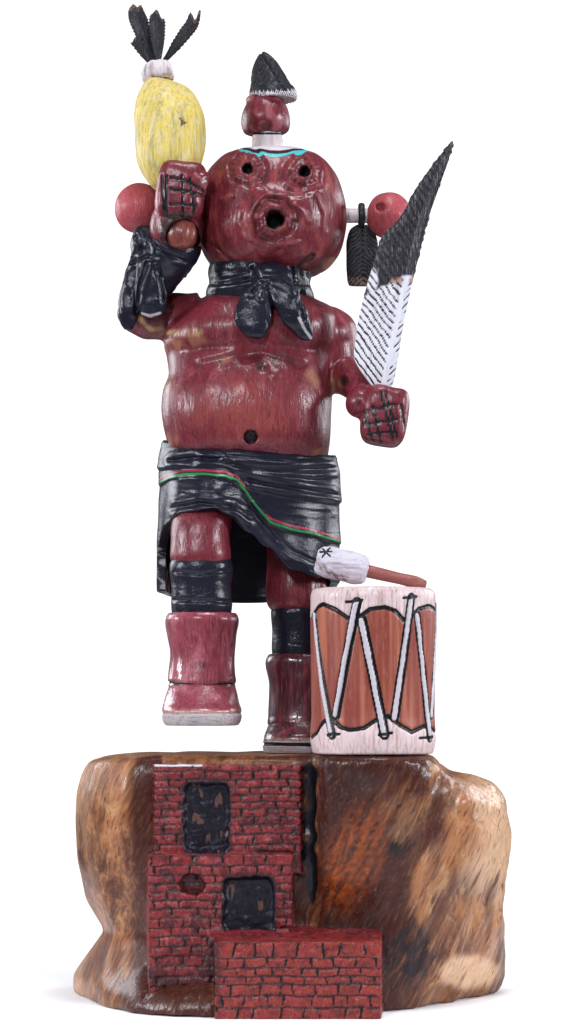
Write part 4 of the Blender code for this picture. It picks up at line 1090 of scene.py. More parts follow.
@dataclass
class RaisedFist:
    """The right fist round the rattle's handle, its thumb and the heel of the hand."""

    grip_lines: Lines = (
        ((170.5, 177.5), (184, 180), (193, 184)), ((170, 189), (186, 191), (202, 195)),
        ((170, 203.5), (182, 204), (196, 205)), ((162, 176), (164, 214)), ((166.5, 176), (166.5, 216)),
        ((182, 176), (182.5, 217)), ((190, 179), (194, 214)), ((193, 184), (205, 192)),
    )
    butt: Pair = (183.5, 236.5)
    crescent: Place = (181, 233, 17)
    thumb_wear_and_highlight: Points = ((196, 175), (204, 181), (207, 192))
    side_wear_and_highlight: Points = ((158, 175), (157, 200), (157, 218))
    thumb_tip: Pair = (204, 181)

    def build(self) -> None:
        """Models the fist and paints it."""
        masses = [
            ball("right_fist", (-18.4, -8.6, 91.4), (4.0, 4.6, 4.9), 7, 4.2, 96),
            ball("right_thumb", (-15.0, -10.6, 93.2), (1.5, 2.4, 1.3), -20),
            ball("right_heel", (-19.2, -7.2, 85.8), (4.3, 4.6, 4.2), 4, 2.6),
        ]
        fist = merge("right_fist", masses, 0.0005, 3)
        skin = Carving(fist)
        px, py = skin.seen()
        front = skin.front()
        lines = lines_mask(px, py, self.grip_lines, 1.8) * (py < 221)
        away = np.hypot(px - self.butt[0], (py - self.butt[1]) * 1.02)
        hollow = smooth(away, 18.0, 15.5)
        skin.push_front((-0.0007 * lines - 0.0052 * hollow) * front)
        skin.push(0.00025 * ripple(skin.at, 0.01, 11))
        skin.mark("ink", lines * front)
        # Painted shade: the hollow round the handle's butt and the crescent by the little finger are
        # darkened.
        x, y, radius = self.crescent
        crescent = smooth(hump(np.hypot(px - x, py - y), radius, 6) * (x - px + y - py), 0, 6)
        skin.mark("dark", most(hollow, crescent) * front)
        # Rose along the thumb and the fist's left side: worn paint, and in part a painted highlight.
        worn = most(stroke(px, py, self.thumb_wear_and_highlight, 4.5), 0.8 * stroke(px, py, self.side_wear_and_highlight, 3.5))
        skin.mark("rose", worn * (0.75 + 0.5 * ripple(skin.at, 0.0022, 12)))
        # The white at the thumb's tip is a painted highlight, in part worn paint.
        x, y = self.thumb_tip
        tip = hump(np.hypot(px - x, (py - y) * 0.8), 0, 4.5)
        skin.mark("white", tip * (0.5 + 0.5 * ripple(skin.at, 0.0018, 14)))
        skin.finish(SKIN, "figure")


@dataclass
class Ties:
    """The black scarf round the neck and the black tie on the raised wrist."""

    band: Points = (
        (-5.7, 0.2, 74.4, 8.3, 8.1), (-5.7, 0.2, 75.2, 9.0, 8.7), (-5.7, 0.1, 76.4, 8.9, 8.9),
        (-5.7, 0.0, 78.0, 8.4, 8.5), (-5.6, 0.0, 79.8, 8.7, 8.7), (-5.5, 0.0, 81.2, 8.4, 8.2),
        (-5.5, 0.0, 82.0, 7.6, 7.4),
    )
    left_end: Points = (
        (-4.9, -9.8, 77.4, 1.2, 0.9), (-5.6, -10.6, 75.4, 1.8, 1.0), (-6.3, -10.9, 73.2, 2.7, 1.0),
        (-6.6, -11.2, 71.2, 3.1, 1.0), (-6.2, -11.3, 68.8, 2.4, 0.9), (-5.9, -11.2, 67.4, 1.1, 0.6),
        (-5.9, -11.2, 67.1, 0.3, 0.3),
    )
    right_end: Points = (
        (-3.0, -9.8, 77.6, 1.9, 1.0), (-1.6, -10.6, 74.6, 2.3, 1.0), (-0.4, -10.9, 72.0, 2.3, 1.0),
        (1.2, -10.6, 69.4, 1.7, 0.8), (2.4, -10.1, 67.6, 0.9, 0.5), (2.6, -10.0, 67.2, 0.2, 0.2),
    )
    scarf_folds: Lines = (
        ((207, 284), (230, 283), (250, 279)), ((292, 283), (312, 285)), ((253, 268), (262, 280), (262, 297)),
        ((264, 279), (278, 280), (293, 288)), ((292, 266), (294, 292)), ((264, 285), (273, 306), (276, 322)),
        ((252, 292), (262, 283), (266, 280)), ((302, 292), (300, 304), (303, 320)),
    )
    wrap: Points = (
        (-23.2, -3.2, 77.6, 3.4, 3.9), (-22.5, -3.8, 78.8, 3.8, 4.2), (-21.8, -4.4, 80.2, 4.2, 4.5),
        (-20.6, -5.4, 82.2, 4.6, 4.8), (-19.7, -6.0, 83.8, 4.7, 4.7), (-19.6, -6.1, 84.2, 4.3, 4.3),
    )
    wrap_end: Points = (
        (-24.6, -6.2, 84.2, 1.2, 1.0), (-24.0, -6.8, 82.0, 1.7, 1.1), (-23.7, -7.6, 79.2, 2.1, 1.0),
        (-23.5, -7.8, 76.2, 2.5, 1.0), (-23.3, -7.4, 73.2, 2.5, 0.9), (-23.2, -7.0, 71.8, 1.9, 0.8),
        (-23.2, -6.9, 71.3, 0.8, 0.4),
    )
    wrap_back_end: Points = (
        (-25.4, -5.4, 81.6, 1.4, 1.0), (-26.4, -5.8, 77.2, 1.7, 1.0), (-27.0, -5.6, 73.5, 1.8, 1.0),
        (-27.2, -5.3, 70.9, 1.5, 0.9), (-27.2, -5.2, 69.5, 0.6, 0.5),
    )
    wrist_folds: Lines = (
        ((132, 262), (146, 256), (158, 258)), ((150, 236), (156, 248), (155, 262)),
        ((155, 246), (168, 254), (186, 262)), ((147, 262), (140, 285), (136, 312)),
        ((158, 262), (161, 284), (163, 300)), ((136, 236), (142, 248), (133, 256)),
    )
    scarf_worn: Points = ((299, 318), (305, 330), (311, 338))
    wrist_worn: Points = ((142, 314), (150, 316), (160, 313))

    def build(self) -> None:
        """Models both ties and paints them."""
        scarf = merge(
            "scarf",
            [
                roll("scarf_band", level_rings(self.band, 60, 120, 2.2)),
                ball("scarf_knot", (-3.6, -8.9, 77.4), (3.3, 2.2, 2.6), 6, 2.4),
                roll("scarf_left", path_rings(self.left_end, 60, 40)),
                roll("scarf_right", path_rings(self.right_end, 60, 40)),
            ],
            0.00056,
            2,
        )
        self.carve(scarf, self.scarf_folds, self.scarf_worn, 21)
        tie = merge(
            "wrist_tie",
            [
                roll("wrist_wrap", path_rings(self.wrap, 50, 80)),
                ball("wrist_knot", (-24.4, -5.6, 83.6), (2.4, 2.4, 3.0), 6, 2.4),
                roll("wrist_end", path_rings(self.wrap_end, 60, 40)),
                roll("wrist_back_end", path_rings(self.wrap_back_end, 60, 40)),
            ],
            0.00056,
            2,
        )
        self.carve(tie, self.wrist_folds, self.wrist_worn, 22)

    def carve(self, piece: Piece, folds: Lines, worn: Points, seed: int) -> None:
        """Cuts the folds of a tie and wears its end.

        Args:
            piece: The tie.
            folds: The lines of its folds.
            worn: The line where its paint is worn to the white.
            seed: Which irregular surface it gets.
        """
        skin = Carving(piece)
        px, py = skin.seen()
        front = skin.front()
        cut = np.zeros(len(px))
        lift = np.zeros(len(px))
        for fold in folds:
            near = distance_to(px, py, fold)
            cut = most(cut, hump(near, 0, 1.8))
            lift = most(lift, hump(near, 4.2, 3.4))
        skin.push_front((0.0005 * lift - 0.0009 * cut) * front)
        skin.push(0.00022 * ripple(skin.at, 0.006, seed))
        skin.mark("pale", stroke(px, py, worn, 2.2) * front * 0.9)
        skin.finish(BLACK, "figure")


@dataclass
class Kilt:
    """The wrapped black kilt with its red and green border."""

    centre: Pair = (-7.65, 0.8)
    radii: Pair = (14.35, 10.6)
    hem: Points = (
        (-180, 25.2), (-128, 26.0), (-96, 26.8), (-82, 33.0), (-66, 37.4), (-44, 39.2), (-20, 39.8),
        (-8, 38.6), (2, 36.2), (12, 33.8), (30, 30.0), (48, 29.0), (90, 28.4), (128, 26.0), (180, 25.2),
    )
    waist: Points = (
        (-180, 50.6), (-90, 51.2), (-30, 49.8), (10, 48.4), (60, 48.4), (95, 48.8), (130, 49.6), (180, 50.6),
    )
    swell: Points = ((24, 1.07), (34, 1.06), (41, 1.04), (46, 1.015), (48.5, 0.985), (51.5, 0.95))
    thigh: Points = ((-75, 0), (-48, 0.9), (-34, 1.0), (-22, 0.9), (4, 0))
    thigh_reach: float = 4.6
    thigh_height: Points = ((37, 1.0), (42, 0.85), (48, 0.1), (51, 0))
    wall: float = 1.5
    border: Points = (
        (150, 488), (160, 480), (172, 474.5), (185, 472.5), (205, 472), (225, 474), (237, 479),
        (247, 491), (258, 505), (270, 519), (290, 526), (310, 530), (330, 536), (350, 542),
    )
    wrap_edge: Points = ((150, 470), (225, 470), (240, 480), (250, 490), (290, 497), (350, 504))
    folds: Lines = (
        ((206, 463), (240, 468), (280, 471), (355, 469)), ((238, 479), (262, 484), (355, 500)),
        ((176, 462), (196, 459), (220, 461)), ((172, 508), (200, 503), (232, 507), (248, 516)),
    )
    fringe: Points = ((160, 528), (160, 560), (165, 592))
    roll_edge: Points = ((236, 510), (252, 530), (270, 551), (292, 567), (316, 575))
    roll_cut: Points = ((243, 499), (256, 513), (272, 533), (292, 551), (316, 562))

    def build(self) -> None:
        """Models the kilt and paints it."""
        sides, rows = 204, 88
        bearing = np.linspace(-180, 180, sides, endpoint=False)
        top, hem = between(bearing, self.waist), between(bearing, self.hem)
        share = np.linspace(0, 1, rows)[:, None]
        z = top + (hem - top) * share
        swell = between(z, self.swell)
        push = between(bearing, self.thigh) * between(z, self.thigh_height) * self.thigh_reach
        angle = np.radians(bearing)
        rings = np.empty((rows, sides, 3))
        rings[..., 0] = self.centre[0] + self.radii[0] * swell * np.sin(angle)
        rings[..., 1] = self.centre[1] - self.radii[1] * swell * np.cos(angle) - push
        rings[..., 2] = z
        kilt = roll("kilt", STAND + rings * SHARE, ends=False)
        apply_modifier(kilt, "SOLIDIFY", thickness=self.wall * SHARE, offset=-1, use_even_offset=False)
        apply_modifier(kilt, "BEVEL", width=0.0004, segments=2, limit_method="ANGLE")
        self.carve(Carving(kilt))
        settle(kilt, BLACK, "figure")

    def carve(self, kilt: Carving) -> None:
        """Cuts the overlapping layers and their folds, and paints the border.

        Args:
            kilt: The kilt.
        """
        px, py = kilt.seen()
        front = kilt.front(-0.1, 0.2)
        middle = STAND + np.array((*self.centre, 0)) * SHARE
        outward = (kilt.at - middle)[:, :2]
        outward /= np.linalg.norm(outward, axis=1)[:, None]
        outside = smooth((kilt.facing[:, :2] * outward).sum(axis=1), 0, 0.4)
        border = py - between(px, self.border)
        wrap = py - between(px, self.wrap_edge)
        out = 0.0009 * smooth(border, 7.0, 4.5) * front + 0.0011 * smooth(wrap, 1.5, -1.5) * front
        for fold in self.folds:
            near = distance_to(px, py, fold)
            out += (0.0007 * hump(near, 5.5, 4.5) - 0.0007 * hump(near, 0, 2.5)) * kilt.front(0.2, 0.6)
        out += (0.001 * stroke(px, py, self.roll_edge, 8.0)) * front
        cut = stroke(px, py, self.roll_cut, 2.4) * front
        out += 0.00018 * ripple(kilt.at, (0.012, 0.012, 0.012), 31) - 0.0007 * cut
        out += 0.00014 * ripple(kilt.at, (0.012, 0.012, 0.0022), 33) * (py < 520) * kilt.front(0.2, 0.6)
        kilt.push(out * outside)
        red = stroke(px, py, self.border, 1.5) * (1 - hump(px, 255, 16))
        kilt.mark("red", 0.9 * red * front * outside)
        green = stroke(px, py - 3.4, self.border, 1.6)
        kilt.mark("green", 0.9 * green * front * outside)
        strip = smooth(distance_to(px, py, self.fringe), 8, 4) * smooth(py, 535, 560)
        strip *= smooth(ripple(kilt.at, (0.0011, 0.0011, 0.016), 35), -0.5, 0.3)
        kilt.mark("pale", strip * 0.9 * kilt.front(-0.6, -0.3))
        kilt.save()


@dataclass
class LegPiece:
    """One part of a leg, with its sections and its finish."""

    name: str
    sections: Points
    paint: Paint
    power: float = 2.3
    creases: Lines = ()


@dataclass
class Legs:
    """The thighs, knee bands, boots and soles."""

    pieces: tuple[LegPiece, ...] = (
        LegPiece("raised_thigh", (
            (-12.6, -0.5, 47.0, 4.8, 5.2), (-13.6, -3.2, 43.0, 5.0, 5.8), (-14.8, -6.4, 39.0, 4.9, 5.8),
            (-15.3, -8.1, 35.0, 4.8, 5.3), (-15.2, -8.5, 31.0, 4.7, 4.9), (-15.2, -8.5, 30.4, 4.2, 4.4),
        ), SKIN),
        LegPiece("raised_band", (
            (-15.1, -8.5, 31.9, 4.0, 4.0), (-15.1, -8.5, 31.7, 4.7, 4.7), (-15.1, -8.5, 31.2, 5.0, 5.0),
            (-15.1, -8.5, 27.4, 4.95, 4.95), (-15.0, -8.4, 23.0, 4.85, 4.85), (-15.0, -8.4, 22.0, 4.6, 4.6),
        ), BLACK, 2.3, (((176, 572), (200, 574), (228, 571)), ((174, 600), (228, 602)))),
        LegPiece("raised_boot", (
            (-15.0, -8.4, 22.9, 5.0, 5.0), (-15.0, -8.4, 22.8, 5.5, 5.5), (-15.0, -8.4, 22.4, 5.8, 5.8),
            (-15.0, -8.4, 19.0, 5.6, 5.6), (-15.0, -8.5, 15.8, 5.3, 5.3), (-15.0, -8.6, 12.9, 5.5, 5.6),
            (-15.0, -8.7, 11.4, 5.6, 5.7), (-15.0, -8.8, 10.9, 5.5, 5.6), (-15.0, -8.8, 10.7, 5.0, 5.1),
        ), BOOT, 2.3, (((168, 683), (200, 686), (236, 684)),)),
        LegPiece("raised_foot", (
            (-15.0, -8.8, 11.4, 4.8, 4.9), (-15.0, -9.0, 10.9, 5.35, 5.7), (-15.0, -9.4, 10.0, 5.7, 6.3),
            (-15.0, -10.2, 8.2, 6.1, 7.4), (-14.9, -10.9, 6.8, 6.35, 8.2), (-14.9, -11.0, 6.3, 6.2, 8.0),
        ), BOOT),
        LegPiece("raised_sole", (
            (-14.9, -11.0, 6.6, 6.0, 7.8), (-14.9, -11.0, 6.4, 6.35, 8.25), (-14.9, -11.0, 5.2, 6.25, 8.15),
            (-14.9, -11.0, 4.7, 5.9, 7.8), (-14.9, -11.0, 4.55, 5.2, 7.0),
        ), SOLE, 2.4),
        LegPiece("standing_thigh", (
            (-1.0, 2.0, 45.0, 5.6, 6.0), (0.0, 2.0, 38.0, 5.0, 5.4), (0.4, 2.0, 31.0, 4.8, 5.0),
            (0.5, 2.0, 24.2, 4.7, 4.8), (0.5, 2.0, 23.6, 4.2, 4.3),
        ), SKIN),
        LegPiece("standing_band", (
            (0.8, 2.0, 24.4, 3.8, 3.9), (0.8, 2.0, 24.1, 4.35, 4.4), (0.8, 2.0, 20.0, 4.4, 4.4),
            (0.8, 2.0, 16.2, 4.4, 4.4), (0.8, 2.0, 15.4, 4.2, 4.2),
        ), BLACK),
        LegPiece("standing_boot", (
            (0.9, 2.0, 16.4, 4.5, 4.5), (0.9, 2.0, 16.3, 5.0, 5.0), (0.9, 2.0, 15.9, 5.3, 5.3),
            (0.9, 2.0, 11.0, 5.05, 5.05), (0.9, 1.9, 6.0, 5.2, 5.2), (0.9, 1.8, 4.6, 5.2, 5.3),
            (0.9, 1.8, 4.3, 4.8, 4.9),
        ), BOOT),
        LegPiece("standing_foot", (
            (1.1, 1.6, 5.1, 4.7, 5.1), (1.0, 1.2, 4.5, 5.2, 5.9), (1.0, 0.8, 3.7, 5.5, 6.5),
            (0.9, 0.4, 2.6, 5.8, 7.2), (0.9, 0.4, 2.0, 5.9, 7.3), (0.9, 0.4, 1.7, 5.6, 7.0),
        ), BOOT),
        LegPiece("standing_sole", (
            (0.9, 0.4, 2.0, 5.6, 6.9), (0.9, 0.4, 1.9, 5.95, 7.4), (0.9, 0.4, 0.4, 5.95, 7.4),
            (0.9, 0.4, 0.0, 5.8, 7.2),
        ), SOLE, 2.4, (((264, 744), (318, 745)),)),
    )
    toe: Oval = (200, 665, 20, 5)

    def build(self) -> None:
        """Models each part of both legs and paints it."""
        for seed, part in enumerate(self.pieces):
            piece = roll(part.name, level_rings(part.sections, 56, 80, part.power))
            skin = Carving(piece)
            px, py = skin.seen()
            front = skin.front(-0.3, 0.1)
            cut = lines_mask(px, py, part.creases, 2.4) if part.creases else np.zeros(len(px))
            side = np.hypot(skin.facing[:, 0], skin.facing[:, 1])
            rough = 0.00022 * ripple(skin.at, (0.008, 0.008, 0.014), 40 + seed)
            skin.push((rough - 0.0007 * cut * front) * side)
            skin.mark("ink", cut * front)
            if part.name.endswith("foot"):
                edge = skin.at[:, 2].min()
                skin.mark("pale", 0.6 * smooth(skin.at[:, 2] - edge, 0.003, 0.0008))
            # The standing boot and foot are darkened all over: painted shade.
            if part.name in ("standing_boot", "standing_foot"):
                skin.mark("dark", 0.62 + 0.25 * ripple(skin.at, (0.0022, 0.003, 0.016), 60 + seed))
            if part.name == "raised_boot":
                toe = oval(px, py, self.toe, 1.1, 0.5) * front
                skin.mark("dark", 0.4 * toe)
            skin.finish(part.paint, "figure")


@dataclass
class Rattle:
    """The yellow gourd on its handle, its collar and the four feathers in it."""

    sections: Points = (
        (91.0, -20.2, 0.3), (91.4, -20.2, 1.2), (92.0, -20.2, 2.2), (93.2, -20.3, 3.5), (95.0, -20.4, 4.55),
        (97.0, -20.4, 5.3), (99.6, -20.3, 5.75), (102.2, -20.3, 5.85), (104.8, -20.4, 5.7),
        (107.4, -20.8, 4.95), (109.1, -21.2, 4.05), (110.5, -21.8, 2.85), (111.3, -22.3, 1.3),
        (111.45, -22.35, 0.3),
    )
    foot_y: float = -7.6
    foot_z: float = 91.6
    lean: float = 0.217
    butt: Place = (-18.3, -9.6, 84.4)
    butt_radius: float = 2.57
    crack: Points = ((180, 118), (183, 121), (182, 124), (186, 122))
    notch: Points = ((147, 86), (153, 84), (158, 84))
    collar_foot: Pair = (-22.3, 111.3)
    collar_axis: Place = (-0.2, 0.21, 0.957)
    collar_radius: float = 0.006
    collar_height: float = 0.0066
    collar: Points = (
        (0.1, 0.3), (0.02, 0.7), (0.12, 0.92), (0.4, 1.0), (0.7, 0.98), (0.92, 0.88), (1.0, 0.78),
        (0.94, 0.68), (0.76, 0.6), (0.74, 0.1),
    )
    outline: Points = (
        (0, 0.3), (0.15, 0.5), (0.35, 0.8), (0.6, 1.02), (0.8, 1.05), (0.92, 0.78), (1.0, 0.35),
    )
    blades: tuple[tuple[float, float, float, float, float], ...] = (
        (-1.06, -0.09, -0.62, 4.9, 0.8), (-0.31, 0.8, -0.36, 10.5, 1.4), (0.36, -0.18, -0.05, 8.8, 1.25),
        (0.98, 0.53, 0.72, 8.3, 1.05),
    )

    def build(self) -> None:
        """Models the gourd, its butt, the collar and the feathers."""
        table = [(x, self.foot_y + self.lean * (z - self.foot_z), z, r, r) for z, x, r in self.sections]
        gourd = roll("gourd", level_rings(table, 100, 120, 2.0))
        skin = Carving(gourd)
        px, py = skin.seen()
        skin.push(0.00045 * ripple(skin.at, (0.012, 0.012, 0.02), 51))
        crack = lines_mask(px, py, (self.crack,), 1.6)
        skin.push(-0.0005 * crack * skin.front())
        skin.mark("dark", most(crack, hump(py, 186, 5) * 0.4) * skin.front())
        skin.finish(GOURD, "gourd_rattle")

        knob = ball("handle_butt", self.butt, (self.butt_radius,) * 3, 0, 2.2, 64)
        skin = Carving(knob)
        px, py = skin.seen()
        skin.push(0.0003 * ripple(skin.at, (0.005, 0.005, 0.012), 57))
        # Darker towards the upper left, where the little finger overhangs the butt: painted shade.
        skin.mark("dark", smooth(180 - px + 0.9 * (229 - py), 2, 12))
        skin.finish(BUTT, "gourd_rattle")
        self.build_collar()

    def build_collar(self) -> None:
        """Models the collar and stands the feathers in it."""
        x, z = self.collar_foot
        axis = np.array(self.collar_axis) / np.linalg.norm(self.collar_axis)
        centre = spot(x, self.foot_y + self.lean * (z - self.foot_z), z)
        foot = centre - axis * self.collar_height * 0.22
        profile = scaled(self.collar, self.collar_height, self.collar_radius)
        skin = Carving(roll("collar", turned_rings(profile, foot, axis, 60, 80)))
        skin.push(0.00035 * ripple(skin.at, 0.005, 53))
        px, py = skin.seen()
        # Painted shade in the notch where the collar meets the gourd; elsewhere the white is greyed at
        # random.
        notch = 0.8 * stroke(px, py, self.notch, 2.8)
        skin.mark("dark", most(notch, 0.3 + 0.35 * ripple(skin.at, (0.0025, 0.0025, 0.005), 54)))
        skin.finish(WHITE, "rattle_collar")
        cup = foot + axis * (self.collar_height * self.collar[-1][0] + 0.0006)
        for number, (x, y, slope, length, half) in enumerate(self.blades, 1):
            floor = -(x * axis[0] + y * axis[1]) / axis[2]
            start = (cup - STAND) / SHARE + np.array((x, y, floor))
            rows = []
            for up, wide_share in self.outline:
                height = 0.9 + up * length
                rows.append((start[0] + slope * up * length, start[1] + 0.09 * height, start[2] + height,
                             half * wide_share, 0.27 if up < 0.9 else 0.18))
            rows.insert(0, (start[0], start[1], start[2], half * 0.3, 0.26))
            feather = Feather(f"rattle_blade_{number}", rows, half, 60 + number)
            feather.build(f"rattle_feather_{number}")


@dataclass
class Feather:
    """A flat carved feather with barbs cut across it."""

    name: str
    rows: Points
    half: float
    seed: int
    barb: float = 0.0011
    pale_from: float = 0.86

    def build(self, node: str) -> None:
        """Models the feather and paints it.

        Args:
            node: The solid that it stands for.
        """
        rings = path_rings(self.rows, 84, 40)
        skin = Carving(roll(self.name, rings))
        centres = np.array([ring.mean(axis=0) for ring in rings])
        index = np.abs(skin.at[:, None, 2] - centres[None, :, 2]).argmin(axis=1)
        across = skin.at[:, 0] - centres[index, 0]
        up = index / (len(centres) - 1)
        phase = (skin.at[:, 2] - 1.3 * np.abs(across)) / self.barb
        barbs = smooth(np.sin(math.tau * phase + 1.4 * ripple(skin.at, 0.006, self.seed)), 0.2, 0.9)
        rib = hump(across, 0, 0.0006)
        face = smooth(np.abs(skin.facing[:, 1]), 0.2, 0.5)
        skin.push((-0.00018 * barbs + 0.0002 * rib) * face)
        edge = smooth(np.abs(across) / (self.half * SHARE), 0.75, 1.0)
        skin.at[:, 0] += np.sign(across) * edge * 0.00025 * np.sin(math.tau * phase)
        ragged = ripple(skin.at, (0.003, 0.1, 0.1), self.seed + 2)
        skin.at[:, 2] += 0.0022 * ragged * smooth(up, 0.72, 0.95)
        skin.mark("ink", barbs * face * 0.8)
        fray = 0.07 * ripple(skin.at, (0.0012, 0.0012, 0.006), self.seed + 1)
        skin.mark("pale", 0.6 * smooth(up + fray, self.pale_from, self.pale_from + 0.1))
        skin.finish(PLUME, node)


@dataclass
class HandFeather:
    """The long feather in the left fist: white below with cut barbs and black above."""

    edges: Points = (
        (0.0, -1.3, 0.8), (1.5, -2.6, 1.4), (3.0, -3.7, 1.75), (5.0, -4.85, 2.1), (9.0, -4.75, 2.7),
        (16.5, -3.2, 4.2), (22.0, -1.5, 5.5), (25.2, -0.5, 6.3), (27.2, 1.5, 6.8), (34.0, 5.6, 9.1),
        (38.4, 8.9, 10.6), (40.2, 10.3, 11.05), (40.5, 10.7, 11.0),
    )
    grip: Place = (14.8, -10.0, 58.8)
    rib: Points = ((382.6, 389), (401.6, 298), (421, 222), (436, 180), (452, 142))
    white_patch: Oval = (372, 280, 7, 14)
    barb: float = 7.4
    split: float = 276.0
    half_thick: float = 0.36
    quill_radius: float = 0.75

    def build(self) -> None:
        """Models the feather with its quill and paints it."""
        x0, y0, z0 = self.grip
        rows = [(x0, y0, z0 - 5.0, self.quill_radius, self.quill_radius)]
        rows.append((x0, y0, z0 - 0.6, self.quill_radius, self.quill_radius))
        for up, left, right in self.edges:
            rows.append((x0 + (left + right) / 2, y0, z0 + up, (right - left) / 2, self.half_thick))
        rings = level_rings(rows, 270, 96, 2.6)
        piece = roll("hand_feather_vane", rings)
        skin = Carving(piece)
        px, py = skin.seen()
        ribs, heights = np.array(self.rib, float).T
        rib_x = np.interp(py, heights[::-1], ribs[::-1])
        across = px - rib_x
        near_rib = np.abs(across)
        phase = (py + np.where(across < 0, 1.05, 1.25) * near_rib) / self.barb
        wobble = ripple(skin.at, 0.012, 71) + 0.3 * ripple(skin.at, 0.003, 72)
        wave = np.sin(math.tau * (phase + wobble * 0.22))
        barbs = smooth(wave, 0.5, 0.86) * smooth(near_rib, 1.5, 4.0)
        barbs *= 1 - 0.7 * (across > 0) * smooth(ripple(skin.at, 0.006, 73), -0.2, 0.4)
        vane = smooth(py, 388, 382)
        face = smooth(np.abs(skin.facing[:, 1]), 0.2, 0.5)
        rib_line = hump(near_rib, 0, 2.2)
        out = -0.00022 * barbs + 0.0004 * rib_line
        skin.push(out * face * smooth(py, 390, 384))
        jag = 6.0 * np.abs(((phase * 0.5) % 1) - 0.5)
        split = self.split + 0.55 * near_rib - jag
        upper = smooth(py, split + 3, split - 3)
        left_white = oval(px, py, self.white_patch, 1.1, 0.6)
        upper = upper * (1 - left_white)
        edge = ripple(skin.at, (0.02, 0.02, 0.003), 74) * upper
        skin.at[:, 0] += 0.00035 * edge * (1 - face)
        skin.mark("plume", upper)
        skin.mark("barb", barbs * (1 - upper) * face * vane)
        skin.mark("ink", barbs * upper * face * 0.8)
        tan = hump(py, 281, 6) * smooth(near_rib, 1, 5) * smooth(near_rib, 18, 14)
        skin.mark("tan", 0.75 * tan)
        skin.finish(QUILL, "hand_feather")


@dataclass
class Crown:
    """The topknot, its white peg and the feather tuft that caps it."""

    foot: Place = (-4.3, 0.0, 100.3)
    lean: Place = (-0.07, 0.0, 1.0)
    peg_radius: float = 0.0057
    peg_show: float = 2.5
    knob: Points = (
        (0.0, 0.6), (0.0, 1.2), (0.4, 1.42), (1.2, 1.55), (2.4, 1.6), (4.0, 1.46), (5.2, 1.26),
        (6.2, 1.18), (6.4, 1.0), (6.4, 0.3),
    )
    cap: Points = (
        (-0.62, 1.5, 3.2, 3.0), (-0.6, 1.5, 3.9, 3.7), (-0.2, 1.5, 4.05, 3.75), (0.5, 1.45, 4.0, 3.6),
        (2.2, 1.0, 3.3, 2.9), (4.2, 0.5, 2.55, 2.1), (6.0, 0.2, 1.6, 1.4), (7.0, -0.05, 0.7, 0.7),
        (7.3, -0.1, 0.2, 0.2),
    )
    rib: Points = ((261, 53), (272, 70), (286, 90))
    dimple: Oval = (265, 126, 6, 6)

    def build(self) -> None:
        """Models the peg, the knob and the cap."""
        axis = np.array(self.lean) / np.linalg.norm(self.lean)
        foot = spot(*self.foot)
        peg_end = self.peg_show * SHARE
        radius = self.peg_radius
        profile = ((-0.004, radius), (peg_end * 0.5, radius * 1.02), (peg_end, radius * 0.97))
        skin = Carving(roll("crown_peg", turned_rings(profile, foot, axis, 40, 80)))
        px, py = skin.seen()
        skin.push(0.00012 * ripple(skin.at, 0.006, 81))
        skin.mark("ink", most(hump(py, 147.5, 1.4), hump(py, 133.5, 1.6)))
        skin.finish(WHITE, "crown_knob")
        profile = scaled(self.knob, SHARE, radius, peg_end)
        skin = Carving(roll("topknot", turned_rings(profile, foot, axis, 60, 90)))
        px, py = skin.seen()
        dimple = oval(px, py, self.dimple, 1.15, 0.5)
        skin.push_front(-0.0014 * dimple * skin.front())
        skin.push(0.0003 * ripple(skin.at, 0.008, 83))
        skin.mark("dark", most(0.5 * dimple, smooth(py, 130, 135)) * skin.front())
        skin.mark("rose", 0.55 * smooth(ripple(skin.at, (0.005, 0.005, 0.009), 84), -0.3, 0.7))
        skin.finish(SKIN, "crown_knob")
        top = (foot + axis * (peg_end + self.knob[-1][0] * SHARE) - STAND) / SHARE
        rows = [(top[0] + bend, top[1], top[2] + up, wide, deep) for up, bend, wide, deep in self.cap]
        skin = Carving(roll("crown_tuft", level_rings(rows, 90, 150, 2.0)))
        px, py = skin.seen()
        rib = distance_to(px, py, self.rib)
        side = np.sign(px - np.interp(py, (53, 90), (261, 286)))
        fan = (px - 262) / most(py - 40, 8)
        barbs = smooth(np.sin(math.tau * fan * 26 + 1.5 * ripple(skin.at, 0.008, 85)), 0.1, 0.9)
        around = np.arctan2(skin.at[:, 1] - top[1] * SHARE, skin.at[:, 0] - (top[0] + 1.2) * SHARE)
        teeth = np.sin(around * 31 + side)
        side_face = smooth(np.hypot(skin.facing[:, 0], skin.facing[:, 1]), 0.3, 0.6)
        skin.push((-0.00035 * barbs - 0.0005 * hump(rib, 0, 1.8)) * side_face)
        fringe = smooth(py + 1.2 * teeth + 0.05 * (px - 262), 89.0, 93.5)
        skin.at[:, 2] -= 0.0002 * teeth * smooth(py, 92, 97)
        skin.mark("white", 0.9 * fringe)
        skin.mark("ink", most(0.8 * barbs, hump(rib, 0, 1.8)) * side_face)
        skin.finish(PLUME, "crown_feather")


